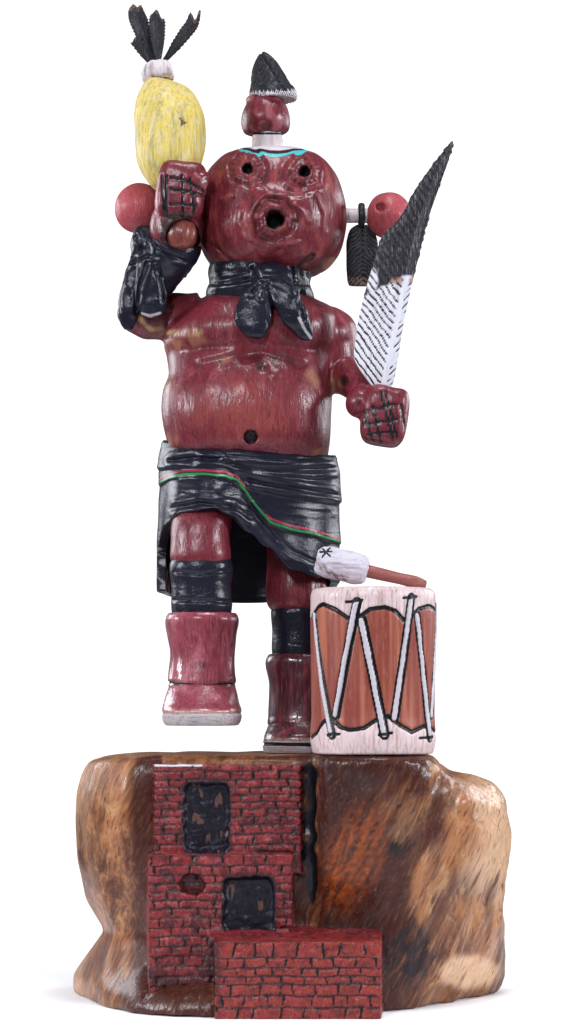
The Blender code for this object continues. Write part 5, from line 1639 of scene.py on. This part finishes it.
@dataclass
class Ear:
    """A red ball on a white peg, with a black ring and the tuft that hangs from it."""

    name: str
    side: int
    head_x: float
    height: float
    ball_x: float
    ball_radius: float
    tuft_x: float
    tuft_half: float
    drop: float
    sway: float
    dimple: Pair | None = None
    middle_y: float = 0.4
    peg_radius: float = 0.0027
    ring_width: float = 0.0022
    ring_wall: float = 0.0017
    outline: Points = (
        (0, 0.35, 0.5), (0.06, 0.7, 0.75), (0.2, 0.94, 0.85), (0.5, 1.03, 0.85), (0.8, 1.0, 0.7),
        (0.95, 0.92, 0.5), (0.99, 0.84, 0.4), (1.0, 0.5, 0.2),
    )

    def build(self) -> None:
        """Models the ball, the peg, the ring and the tuft."""
        axis = np.array((self.side, 0, 0), float)
        middle = (self.ball_x, self.middle_y, self.height)
        centre = spot(*middle)
        skin = Carving(ball(f"{self.name}_ball", middle, (self.ball_radius,) * 3, segments=96))
        px, py = skin.seen()
        skin.push(0.00025 * ripple(skin.at, 0.01, 90 + self.side))
        if self.dimple:
            pit = smooth(np.hypot(px - self.dimple[0], py - self.dimple[1]), 5.5, 3.0)
            skin.push_front(-0.0022 * pit * skin.front())
            # The pit is darkened: painted shade.
            skin.mark("dark", 0.45 * pit * skin.front())
        skin.finish(EAR, f"{self.name}_knob")
        start = spot(self.head_x, self.middle_y, self.height) - axis * 0.004
        reach = abs(self.ball_x - self.head_x) * SHARE - self.ball_radius * SHARE * 0.9 + 0.004
        profile = scaled(((0, 1.08), (0.5, 1.0), (1.0, 1.02)), reach, self.peg_radius)
        peg = roll(f"{self.name}_peg", turned_rings(profile, start, axis, 30, 48))
        settle(peg, WHITE, f"{self.name}_knob")
        ring_at = centre - axis * (self.ball_radius * SHARE + self.ring_width / 2 + 0.0006)
        half, hole = self.ring_width / 2, self.peg_radius + 0.0002
        outer = hole + self.ring_wall
        profile = ((-half, hole), (-half, outer - 0.0003), (-half * 0.7, outer), (half * 0.7, outer),
                   (half, outer - 0.0003), (half, hole))
        ring = roll(f"{self.name}_ring", turned_rings(profile, ring_at, axis, 30, 60))
        settle(ring, PLUME, f"{self.name}_feather")
        top = (ring_at - STAND) / SHARE
        z0 = top[2] - outer / SHARE + 0.5
        rows = []
        for down, wide, thick in self.outline:
            x = top[0] + (self.tuft_x - top[0]) * min(1, down * 2)
            y = top[1] + self.sway * min(1, down * 3)
            rows.append((x, y, z0 - down * self.drop, wide * self.tuft_half, thick))
        skin = Carving(roll(f"{self.name}_tuft", path_rings(rows, 96, 64)))
        px, py = skin.seen()
        across = (skin.at[:, 0] - self.tuft_x * SHARE) / (self.tuft_half * SHARE)
        up = (skin.at[:, 2] - STAND[2]) / SHARE
        phase = (up + 2.6 * np.abs(across)) * 1.25
        barbs = smooth(np.sin(math.tau * phase + 2.6 * ripple(skin.at, 0.006, 95)), 0.1, 0.9)
        face = smooth(np.abs(skin.facing[:, 1]), 0.15, 0.45)
        skin.push((-0.00045 * barbs - 0.0004 * hump(across, 0.05, 0.1)) * face)
        skin.mark("ink", barbs * face * 0.7)
        end = (z0 - self.drop) - up
        skin.mark("pale", 0.6 * smooth(end + 0.35 * ripple(skin.at, (0.001, 0.001, 0.02), 96), -1.7, -0.9))
        skin.finish(PLUME, f"{self.name}_feather")


EARS = (
    Ear("right_ear", -1, -15.6, 90.5, -25.6, 4.2, -19.8, 2.13, 9.6, 2.5),
    Ear("left_ear", 1, 9.0, 89.3, 15.8, 3.8, 11.4, 2.6, 10.2, 0.0, (380.5, 207.0)),
)


@dataclass
class Drum:
    """The carved drum with its painted lacing."""

    top_edge: Points = (
        (309, 617), (311, 615), (317, 607), (323, 604), (335, 609), (348, 618), (358, 618), (370, 609),
        (385, 607), (396, 611), (404, 620), (411, 617), (419, 609), (427, 606), (436, 611),
    )
    foot_edge: Points = (
        (309, 738), (316, 733), (323, 722), (331, 718), (340, 727), (350, 730), (364, 728), (376, 720),
        (388, 716), (400, 725), (412, 732), (424, 726), (436, 734),
    )
    straps: Lines = (
        ((313, 615), (331, 735)), ((356, 602), (335, 715)), ((361, 620), (384, 735)),
        ((411, 598), (394, 718)), ((417, 616), (428, 738)), ((434.6, 604), (430, 715)),
    )
    ticks: Lines = (
        ((346, 602), (362, 600)), ((404, 598), (417, 596.5)), ((327, 735), (339, 734)),
        ((379, 735), (392, 733)), ((420, 738), (431, 737)),
    )
    profile: Points = (
        (0, 0.8), (0, 0.9), (0.006, 0.955), (0.03, 0.978), (0.25, 0.985), (0.6, 0.995), (0.9, 1.0),
        (0.965, 0.992), (0.99, 0.965), (1.0, 0.92), (1.0, 0.8),
    )
    middle: float = 371.5
    half: float = 63.2
    strap_half: float = 2.6
    outline: float = 5.2

    def build(self) -> None:
        """Models the drum and paints it."""
        low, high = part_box("drum")
        radius, height = (high.x - low.x) / 2, high.z - low.z
        foot = np.array(((low.x + high.x) / 2, (low.y + high.y) / 2, low.z))
        profile = scaled(self.profile, height, radius)
        drum = roll("drum_log", turned_rings(profile, foot, (0, 0, 1), 140, 360))
        self.carve(Carving(drum), foot)
        settle(drum, DRUM, "drum")

    def unroll(self, px: Array) -> Array:
        """Lays places across the drum's round side out flat, in pixels."""
        return self.middle + self.half * np.arcsin(np.clip((px - self.middle) / self.half, -1, 1))

    def flat(self, line: Points) -> Array:
        """A photographed line laid out flat.

        Args:
            line: The line.

        Returns:
            Its points on the flat.
        """
        points = np.array(line, float)
        points[:, 0] = self.unroll(points[:, 0])
        return points

    def carve(self, drum: Carving, foot: Array) -> None:
        """Cuts the lacing into the drum's side and paints it.

        Args:
            drum: The drum.
            foot: The middle of its foot.
        """
        real = drum.at.copy()
        drum.at[:, 1] = foot[1] - np.abs(drum.at[:, 1] - foot[1])
        px, py = drum.seen()
        drum.at = real
        angle = np.arctan2(real[:, 0] - foot[0], np.abs(real[:, 1] - foot[1]))
        turned = smooth(np.abs(px - self.middle) / self.half, 0.8, 0.97)
        px = (1 - turned) * self.unroll(px) + turned * (self.middle + self.half * angle)
        side = smooth(np.hypot(drum.facing[:, 0], drum.facing[:, 1]), 0.6, 0.85)
        top_edge, foot_edge = self.flat(self.top_edge), self.flat(self.foot_edge)
        top = py - np.interp(px, *top_edge.T)
        bottom = py - np.interp(px, *foot_edge.T)
        panel = smooth(top, -0.5, 1.0) * smooth(bottom, 0.5, -1.0) * side
        edges = most(stroke(px, py, top_edge, 2.9), stroke(px, py, foot_edge, 2.9))
        strap = np.zeros(len(px))
        line = np.minimum(1, edges * 1.5)
        for track in map(self.flat, self.straps):
            near = distance_to(px, py, track) + 0.45 * ripple(real, 0.007, 105)
            shifted = distance_to(px - 0.9, py, track)
            inside = smooth(near, self.strap_half + 0.5, self.strap_half - 0.5)
            rim = smooth(shifted, self.outline + 0.4, self.outline - 0.6)
            line = most(line * (1 - inside), rim * (1 - inside))
            strap = most(strap * (1 - rim), inside)
        line = most(line, lines_mask(px, py, map(self.flat, self.ticks), 2.0))
        grain = ripple(real, (0.0016, 0.0016, 0.05), 101)
        drum.push((0.0005 * strap - 0.0005 * line + 0.0001 * grain) * side)
        drum.mark("panel", panel)
        drum.mark("light", panel * (0.28 + 0.4 * ripple(real, (0.0035, 0.0035, 0.05), 103)))
        drum.mark("strap", strap * side)
        drum.mark("ink", line * side)
        drum.save()


@dataclass
class Drumstick:
    """The padded stick: a white head with a cross stitch and a brown shaft."""

    slope: float = math.radians(13.0)
    length: float = 0.041
    head_length: float = 0.019
    head_radius: float = 0.0057
    radius: float = 0.0024
    pad: Points = (
        (0, 0.2), (0, 0.62), (0.05, 0.86), (0.15, 0.97), (0.5, 1.0), (0.82, 0.98), (0.95, 0.86),
        (1.0, 0.62), (1.0, 0.15),
    )
    shaft: Points = ((0, 0.2), (0, 0.5), (0.04, 0.66), (0.5, 0.88), (1.05, 1.0))
    stitches: Lines = (
        ((321, 547), (330, 556)), ((331, 546), (322, 557)), ((320, 552), (332, 551)),
        ((323, 541), (331, 543)),
    )
    pad_lower_edge: Points = ((317, 560), (326, 571), (346, 580))

    def build(self) -> None:
        """Models the padded head and the shaft."""
        low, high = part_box("drumstick")
        axis = np.array((-math.cos(self.slope), 0, math.sin(self.slope)))
        rise = self.radius * 0.45 * math.cos(self.slope)
        tip = np.array((high.x - self.radius * 0.2, (low.y + high.y) / 2, low.z + rise))
        neck = self.length - self.head_length
        profile = scaled(self.pad, self.head_length, self.head_radius, neck)
        skin = Carving(roll("stick_pad", turned_rings(profile, tip, axis, 64, 84)))
        px, py = skin.seen()
        cut = lines_mask(px, py, self.stitches, 1.1) * skin.front()
        skin.push(0.0002 * ripple(skin.at, (0.009, 0.002, 0.002), 111) - 0.0003 * cut)
        skin.mark("ink", cut)
        # Darker along the pad's lower edge.
        ragged = stroke(px, py, self.pad_lower_edge, 5)
        skin.mark("dark", ragged * (0.6 + 0.5 * ripple(skin.at, 0.002, 112)))
        skin.finish(PAD, "drumstick")
        profile = scaled(self.shaft, neck, self.radius)
        shaft = roll("stick_shaft", turned_rings(profile, tip, axis, 50, 48))
        settle(shaft, SHAFT, "drumstick")


@dataclass
class Wall:
    """A carved brick wall of the pueblo."""

    name: str
    left: float
    right: float
    bottom: float
    top: float
    front: float
    back: float
    courses: tuple[float, ...]
    joints: int
    rise: float = 0.0


@dataclass
class Hole:
    """A window, door or smoke hole cut into a wall."""

    left: float
    right: float
    bottom: float
    top: float
    front: float
    depth: float
    square: float = 7.0


@dataclass
class Pueblo:
    """The brick house carved into the front of the root."""

    voxel: float = 0.00054
    groove: float = 0.00058
    flare: float = 0.0018
    cuts: int = 24
    walls: tuple[Wall, ...] = (
        Wall("upper_wall", -0.0512, 0.0034, 0.05, 0.0891, -0.0409, -0.03,
             (0.0576, 0.0604, 0.0642, 0.0676, 0.0704, 0.0733, 0.0758, 0.0784, 0.081, 0.0838, 0.0868), 6),
        Wall("lower_wall", -0.0529, -0.0001, 0.0055, 0.0571, -0.0444, -0.03,
             (0.0098, 0.0132, 0.0168, 0.0205, 0.024, 0.0276, 0.0308, 0.0342, 0.0376, 0.0406, 0.0436,
              0.0466, 0.0496, 0.053), 6),
        Wall("terrace", -0.0289, 0.0315, 0.0, 0.0271, -0.0613, -0.03,
             (0.004, 0.0082, 0.0122, 0.015, 0.018, 0.0216), 8, 0.004),
    )
    holes: tuple[Hole, ...] = (
        Hole(-0.0396, -0.0234, 0.058, 0.0822, -0.0409, 0.0042),
        Hole(-0.0251, -0.0071, 0.028, 0.0487, -0.0444, 0.0042),
        Hole(-0.0412, -0.0318, 0.0424, 0.0498, -0.0444, 0.0034, 2.0),
    )
    foot_line: Points = ((147, 975), (180, 985), (213, 988), (213, 945))
    corner_line: Points = ((296, 860), (296, 925))

    def build(self) -> None:
        """Models the walls and the terrace and paints them."""
        upper, lower, terrace = (self.block(wall) for wall in self.walls)
        house = merge("pueblo_walls", [upper, lower], self.voxel, 1)
        self.carve(Carving(house), self.walls[:2])
        settle(house, BRICK)
        ledge = merge("pueblo_terrace", [terrace], self.voxel, 1)
        self.carve(Carving(ledge), self.walls[2:])
        settle(ledge, BRICK)

    def block(self, wall: Wall) -> Piece:
        """A wall before its bricks are cut, its flanks leaning in towards its face.

        Args:
            wall: The wall.

        Returns:
            The new piece.
        """
        deselect()
        bpy.ops.mesh.primitive_cube_add(size=1)
        piece = bpy.context.object
        piece.name = wall.name
        make_active(piece)
        bpy.ops.object.mode_set(mode="EDIT")
        bpy.ops.mesh.select_all(action="SELECT")
        bpy.ops.mesh.subdivide(number_cuts=self.cuts)
        bpy.ops.object.mode_set(mode="OBJECT")
        skin = Carving(piece)
        unit = skin.at + 0.5
        low = np.array((wall.left, wall.front, wall.bottom))
        high = np.array((wall.right, wall.back, wall.top))
        skin.at = low + unit * (high - low)
        skin.at[:, 0] += (unit[:, 0] - 0.5) * (unit[:, 1] - 0.5) * 2 * self.flare
        skin.at[:, 2] += unit[:, 1] * unit[:, 2] * wall.rise
        skin.save()
        return piece

    def carve(self, house: Carving, walls: Sequence[Wall]) -> None:
        """Cuts the bricks' joints and the openings, and paints them.

        Args:
            house: The walls.
            walls: What each of them is like.
        """
        x, y, z = house.at.T
        groove, level_cut, stand, deep, inside, rim, dimple = np.zeros((7, len(x)))
        ragged = 0.3 * ripple(house.at, 0.003, 127)
        sides = np.abs(house.facing[:, 0]) > 0.7
        upright = smooth(np.abs(house.facing[:, 2]), 0.8, 0.5)
        along = np.where(sides, y, x)
        for number, wall in enumerate(walls):
            mine = (z < wall.top + wall.rise + 0.0002) & (z > wall.bottom - 0.001)
            mine &= (y < wall.front + 0.0006) if not wall.rise else (y < 0)
            if number == 0 and len(walls) > 1:
                mine &= z > walls[1].top
            if number == 0:
                mine |= sides & (z < wall.top + wall.rise) & (z > wall.bottom)
            wave = 0.00022 * np.sin(along * 230 + number) + 0.00012 * np.sin(along * 731)
            edges = (wall.bottom - 0.002, *wall.courses, wall.top + wall.rise + 0.004)
            for row, (low, high) in enumerate(zip(edges, edges[1:])):
                near = np.abs(z + wave - low) / self.groove + ragged
                line = smooth(near, 0.95, 0.3)
                level_cut = most(level_cut, line * mine * (row > 0))
                rng = np.random.default_rng(200 + 17 * row + number + wall.joints)
                pitch = (wall.right - wall.left) / wall.joints
                course = mine & (z + wave > low) & (z + wave < high)
                for joint in range(-2, wall.joints + 3):
                    at = wall.left + pitch * (joint + (row % 2) * 0.5 + rng.uniform(-0.22, 0.22))
                    slant = rng.uniform(-0.25, 0.25) * (z - low)
                    cut = smooth(np.abs(along - at - slant) / self.groove + ragged, 0.85, 0.25)
                    reach = smooth(z + wave - low, 0, 0.0006 + rng.uniform(0, 0.001))
                    groove = most(groove, cut * course * reach)
                    brick = course & (along > at + slant)
                    level = rng.uniform(-0.0003, 0.00022) + rng.uniform(-0.1, 0.1) * (z - low)
                    stand = np.where(brick, level, stand)
        for hole in self.holes:
            u = (x - (hole.left + hole.right) / 2) / ((hole.right - hole.left) / 2)
            v = (z - (hole.bottom + hole.top) / 2) / ((hole.top - hole.bottom) / 2)
            u = u + 0.06 * ripple(house.at, 0.005, 129)
            v = v + 0.045 * ripple(house.at, 0.005, 130)
            size = (np.abs(u) ** hole.square + np.abs(v) ** hole.square) ** (1 / hole.square)
            here = (y < hole.front + 0.002) & (house.facing[:, 1] < -0.3)
            pit = smooth(size, 1.06, 0.92) * here
            deep = most(deep, pit * hole.depth)
            inside = most(inside, smooth(size, 1.12, 0.98) * here * (hole.square > 3))
            rim = most(rim, hump(size, 1.08, 0.1) * here * (hole.square > 3))
            dimple = most(dimple, smooth(size, 1.1, 0.6) * here * (hole.square < 3) * smooth(v, -0.7, 0.2))
        solid = (1 - np.clip(inside * 2, 0, 1)) * upright
        groove, level_cut, stand = groove * solid, level_cut * solid, stand * solid
        rough = 0.00016 * ripple(house.at, 0.0035, 121)
        house.push(stand + rough - 0.0006 * most(groove, 0.8 * level_cut))
        house.at[:, 1] += deep
        chips = ripple(house.at, (0.0016, 0.01, 0.008), 123)
        chips += 0.7 * ripple(house.at, (0.005, 0.01, 0.009), 124)
        scratch = smooth(chips, 0.5, 1.4) * inside
        px, py = house.seen()
        corner = most(stroke(px, py, self.foot_line, 14), 0.8 * stroke(px, py, self.corner_line, 7))
        house.mark("shade", most(0.75 * corner, 0.8 * dimple, 0.7 * rim, 0.9 * level_cut))
        house.mark("ink", most(groove, 0.25 * level_cut, rim * 0.35))
        house.mark("blue", inside)
        tone = 0.4 + 0.22 * ripple(house.at, (0.0045, 0.0045, 0.003), 128)
        house.mark("warm", tone * smooth(y, -0.053, -0.0575) * (1 - inside))
        house.mark("scratch", scratch * 0.8)
        # A painted highlight along the top edge of the upper wall's left part, in chalk white.
        white = smooth(z, self.walls[0].top - 0.001, self.walls[0].top - 0.0002) * (x < -0.033)
        white = white * (y < self.walls[0].front + 0.0016) * smooth(ripple(house.at, 0.003, 125), -0.9, -0.2)
        house.mark("white", 0.8 * white)
        house.at[:, 2] = most(house.at[:, 2], 0)
        house.save()


@dataclass
class Root:
    """The varnished block of cottonwood root."""

    voxel: float = 0.0015
    sink: float = 0.0062
    glow: Oval = (352, 862, 40, 80)
    knot: Oval = (404, 815, 32, 42)
    heart: Oval = (402, 848, 20, 15)
    swirl: Pair = (396, 822)
    dark_foot: Oval = (406, 954, 36, 42)
    fan: Oval = (468, 972, 36, 21)
    brown_edge: Points = ((830, 408), (900, 388))
    brown_rise: Points = ((860, 0.12), (900, 0.42), (1000, 0.42))
    cleft: float = 311.0

    def build(self) -> None:
        """Models the root over its solid and paints it."""
        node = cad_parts["base"]
        root = node.copy()
        root.data = node.data.copy()
        root.name = "root_block"
        for holder in list(root.users_collection):
            holder.objects.unlink(root)
        bpy.context.scene.collection.objects.link(root)
        for key in list(root.keys()):
            del root[key]
        make_active(root)
        bpy.ops.object.mode_set(mode="EDIT")
        bpy.ops.mesh.select_all(action="SELECT")
        bpy.ops.mesh.remove_doubles(threshold=0.00001)
        bpy.ops.object.mode_set(mode="OBJECT")
        apply_modifier(root, "REMESH", mode="VOXEL", voxel_size=self.voxel)
        apply_modifier(root, "SMOOTH", factor=0.5, iterations=14)
        skin = Carving(root)
        self.make_room(skin, Pueblo().walls)
        self.carve(skin)
        settle(root, ROOT, "base")

    def make_room(self, root: Carving, walls: Sequence[Wall]) -> None:
        """Sinks the root's skin behind the brick walls, which are laid in front of it.

        Args:
            root: The root.
            walls: The walls.
        """
        for wall in walls:
            x, y, z = root.at.T
            top = wall.top + wall.rise
            inside = (x > wall.left - 0.0012) & (x < wall.right + 0.0012) & (y < wall.back)
            inside &= (z < top + 0.0008) & (z > wall.bottom - 0.0008) & (y > wall.front - 0.002)
            y[inside] = most(y[inside], wall.front + self.sink)
            flank = inside & (y < wall.back - 0.003)
            x[flank] = np.clip(x[flank], wall.left + self.sink, wall.right - self.sink)
            z[flank] = np.minimum(z[flank], top - self.sink)
            if wall.bottom > 0.001:
                z[flank] = most(z[flank], wall.bottom + self.sink)

    def carve(self, root: Carving) -> None:
        """Roughens the root and paints its zones.

        Args:
            root: The root.
        """
        px, py = root.seen()
        front = root.front(-0.1, 0.3)
        side = smooth(np.hypot(root.facing[:, 0], root.facing[:, 1]), 0.3, 0.7)
        right = smooth(px, 305, 325)
        wander = 2.5 * ripple(root.at, (0.02, 0.02, 0.006), 143)
        groove = hump(px + wander, self.cleft, 6.5) * smooth(py, 750, 775) * smooth(py, 925, 885) * front
        bark = np.abs(ripple(root.at, (0.01, 0.01, 0.016), 131)) * right
        slanted = root.at @ np.array(((1, 0, 0), (0, 1, 0), (-0.5, 0, 1)))
        flutes = ripple(slanted, (0.0034, 0.006, 0.05), 133)
        root.push((0.0006 * bark + 0.00035 * flutes * right * front - 0.0016 * groove) * side)
        root.push(0.0004 * ripple(root.at, (0.02, 0.02, 0.03), 135))
        drift = ripple(root.at, (0.018, 0.018, 0.03), 137)
        fine = ripple(slanted, (0.0022, 0.004, 0.04), 139)
        # Darker beside the wall's left flank, where the root meets the wall: painted shade.
        near_wall = smooth(px, 112, 146) * (px < 160)
        brown = most(near_wall, right * smooth(px + 14 * drift, 458, between(py, self.brown_edge)))
        brown = most(brown, 0.85 * smooth(py, 768, 757) * smooth(px, 150, 300) * (px < 440))
        brown = most(brown, 0.75 * smooth(py, 812, 770) * smooth(px, 310, 330) * (px < 400))
        brown = most(brown, between(py, self.brown_rise) * (1 + drift) * (px > 430))
        # Darker strip beside the wall's right flank: painted shade.
        strip = hump(px, 303, 16) * (py < 925)
        lip = smooth(py, 968, 984) * (px < 218) * smooth(px, 70, 140)
        brown = most(brown, 0.95 * lip, strip)
        # Orange streaks along the grain, in part a painted highlight.
        orange = oval(px + 0.28 * (py - 860), py, self.glow, 1.1, 0.35)
        orange = orange * (0.6 + 0.45 * fine) * smooth(py, 768, 792)
        knot = oval(px, py, self.knot, 1.2, 0.4)
        heart = oval(px, py, self.heart, 1.2, 0.3)
        x, y = self.swirl
        swirl = hump(np.sin(np.hypot((px - x) / 1.2, py - y) / 2.4 + 2 * drift), 1, 0.4) * knot
        foot = oval(px, py, self.dark_foot, 1.2, 0.4)
        plum = most(0.55 * swirl, 0.85 * heart, 0.85 * foot)
        plum = most(plum * (0.85 + 0.5 * ripple(root.at, 0.007, 141)), 0.4 * right * smooth(px, 392, 370))
        # The cleft is painted dark: painted shade.
        plum = most(plum, 1.2 * groove)
        fan = oval(px, py, self.fan, 1.15, 0.5)
        low = smooth(py + 40 * drift * (1 - front), between(front, ((0, 930), (1, 880))), 990 - 50 * front)
        pale = 0.75 * smooth(px + 12 * drift, 448, 488) * (1 - low) * between(front, ((0, 0.62), (1, 1)))
        fan = fan * front
        pale = most(pale, fan, 0.5 * smooth(px, 100, 76), 0.3 * knot)
        brown = most(brown, 0.34 * (1 + drift) * (px < 130)) * (1 - 0.38 * knot)
        root.mark("brown", brown * (1 - 0.8 * fan) * most(front, 0.3))
        root.mark("orange", orange * front)
        root.mark("plum", plum * (1 - fan) * front)
        root.mark("pale", pale)
        # The cleft's ink is painted shade as well.
        root.mark("ink", groove * 0.9)
        root.at[:, 2] = most(root.at[:, 2], 0)
        root.save()


@dataclass
class Studio:
    """The pale floor, the soft lights and the camera."""

    lights: tuple[tuple[str, Place, float, float], ...] = (
        ("front_light", (-0.4, -1.45, 0.8), 0.2, 12.0),
        ("left_light", (-1.05, -0.35, 0.42), 0.22, 9.0),
        ("right_light", (1.05, -0.4, 0.42), 0.22, 10.5),
        ("top_light", (0.1, -0.3, 1.25), 0.28, 8.0),
        ("left_rim", (-0.8, 0.6, 0.45), 0.5, 5.0),
        ("right_rim", (0.8, 0.6, 0.45), 0.5, 5.0),
    )
    aim: Place = (0.0, 0.0, 0.18)
    tint: Colour = (0.91, 0.94, 1.0)
    room: float = 0.14
    backdrop: float = 1.2
    floor_fade: Pair = (0.16, 0.42)

    def build(self) -> None:
        """Sets the floor, lights, room light and camera."""
        deselect()
        bpy.ops.mesh.primitive_plane_add(size=8, location=(0, 0, 0))
        floor = bpy.context.object
        floor.name = "studio_floor"
        wires = Wiring("studio_white")
        wires.shader.inputs["Base Color"].default_value = (0.92, 0.92, 0.93, 1)
        wires.shader.inputs["Roughness"].default_value = 0.9
        self.fade(wires)
        floor.data.materials.append(wires.material)
        for name, place, size, power in self.lights:
            data = bpy.data.lights.new(name, "AREA")
            data.shape = "DISK"
            data.size = size
            data.energy = power
            data.color = self.tint
            light = bpy.data.objects.new(name, data)
            light.location = place
            way = Vector(self.aim) - Vector(place)
            light.rotation_euler = way.to_track_quat("-Z", "Y").to_euler()
            bpy.context.scene.collection.objects.link(light)
        self.light_room()
        self.set_camera()

    def fade(self, wires: Wiring) -> None:
        """Lets the floor fade into the white backdrop away from the doll.

        Args:
            wires: The floor's shader.
        """
        away = wires.tree.nodes.new("ShaderNodeVectorMath")
        away.operation = "LENGTH"
        wires.link(wires.place, away.inputs[0])
        clear = wires.tree.nodes.new("ShaderNodeBsdfTransparent")
        mix = wires.tree.nodes.new("ShaderNodeMixShader")
        wires.link(wires.step(away.outputs["Value"], *self.floor_fade), mix.inputs["Fac"])
        wires.link(wires.shader.outputs["BSDF"], mix.inputs[1])
        wires.link(clear.outputs["BSDF"], mix.inputs[2])
        wires.link(mix.outputs["Shader"], wires.tree.nodes["Material Output"].inputs["Surface"])

    def light_room(self) -> None:
        """Gives the room a soft cool light and a white backdrop."""
        world = bpy.data.worlds.new("room")
        world.use_nodes = True
        tree = world.node_tree
        soft = tree.nodes["Background"]
        soft.inputs["Color"].default_value = (0.93, 0.96, 1.0, 1)
        soft.inputs["Strength"].default_value = self.room
        white = tree.nodes.new("ShaderNodeBackground")
        white.inputs["Color"].default_value = (1, 1, 1, 1)
        white.inputs["Strength"].default_value = self.backdrop
        rays = tree.nodes.new("ShaderNodeLightPath")
        mix = tree.nodes.new("ShaderNodeMixShader")
        tree.links.new(rays.outputs["Is Camera Ray"], mix.inputs["Fac"])
        tree.links.new(soft.outputs["Background"], mix.inputs[1])
        tree.links.new(white.outputs["Background"], mix.inputs[2])
        tree.links.new(mix.outputs["Shader"], tree.nodes["World Output"].inputs["Surface"])
        bpy.context.scene.world = world
        bpy.context.scene.view_settings.view_transform = "Standard"

    def set_camera(self) -> None:
        """Stands the camera where the photograph was taken from."""
        data = bpy.data.cameras.new("camera")
        data.sensor_fit = "VERTICAL"
        data.sensor_height = SENSOR
        data.lens = SENSOR / (FRAME_SIZE[1] * PIXEL)
        data.shift_y = (PHOTO_HORIZON - FRAME_SIZE[1] / 2) / FRAME_SIZE[1]
        camera = bpy.data.objects.new("camera", data)
        camera.location = CAMERA_PLACE
        camera.rotation_euler = (math.pi / 2, 0, 0)
        bpy.context.scene.collection.objects.link(camera)
        bpy.context.scene.camera = camera


def main() -> None:
    """Builds every piece in order."""
    logging.basicConfig(level=logging.INFO, format="%(message)s")
    steps: tuple[Callable[[], None], ...] = (
        Studio().build,
        Root().build,
        Pueblo().build,
        Body().build,
        Mask().build,
        RaisedFist().build,
        Ties().build,
        Kilt().build,
        Legs().build,
        Rattle().build,
        HandFeather().build,
        Crown().build,
        *(ear.build for ear in EARS),
        Drum().build,
        Drumstick().build,
    )
    for step in steps:
        step()
    deselect()


if __name__ == "__main__":
    main()
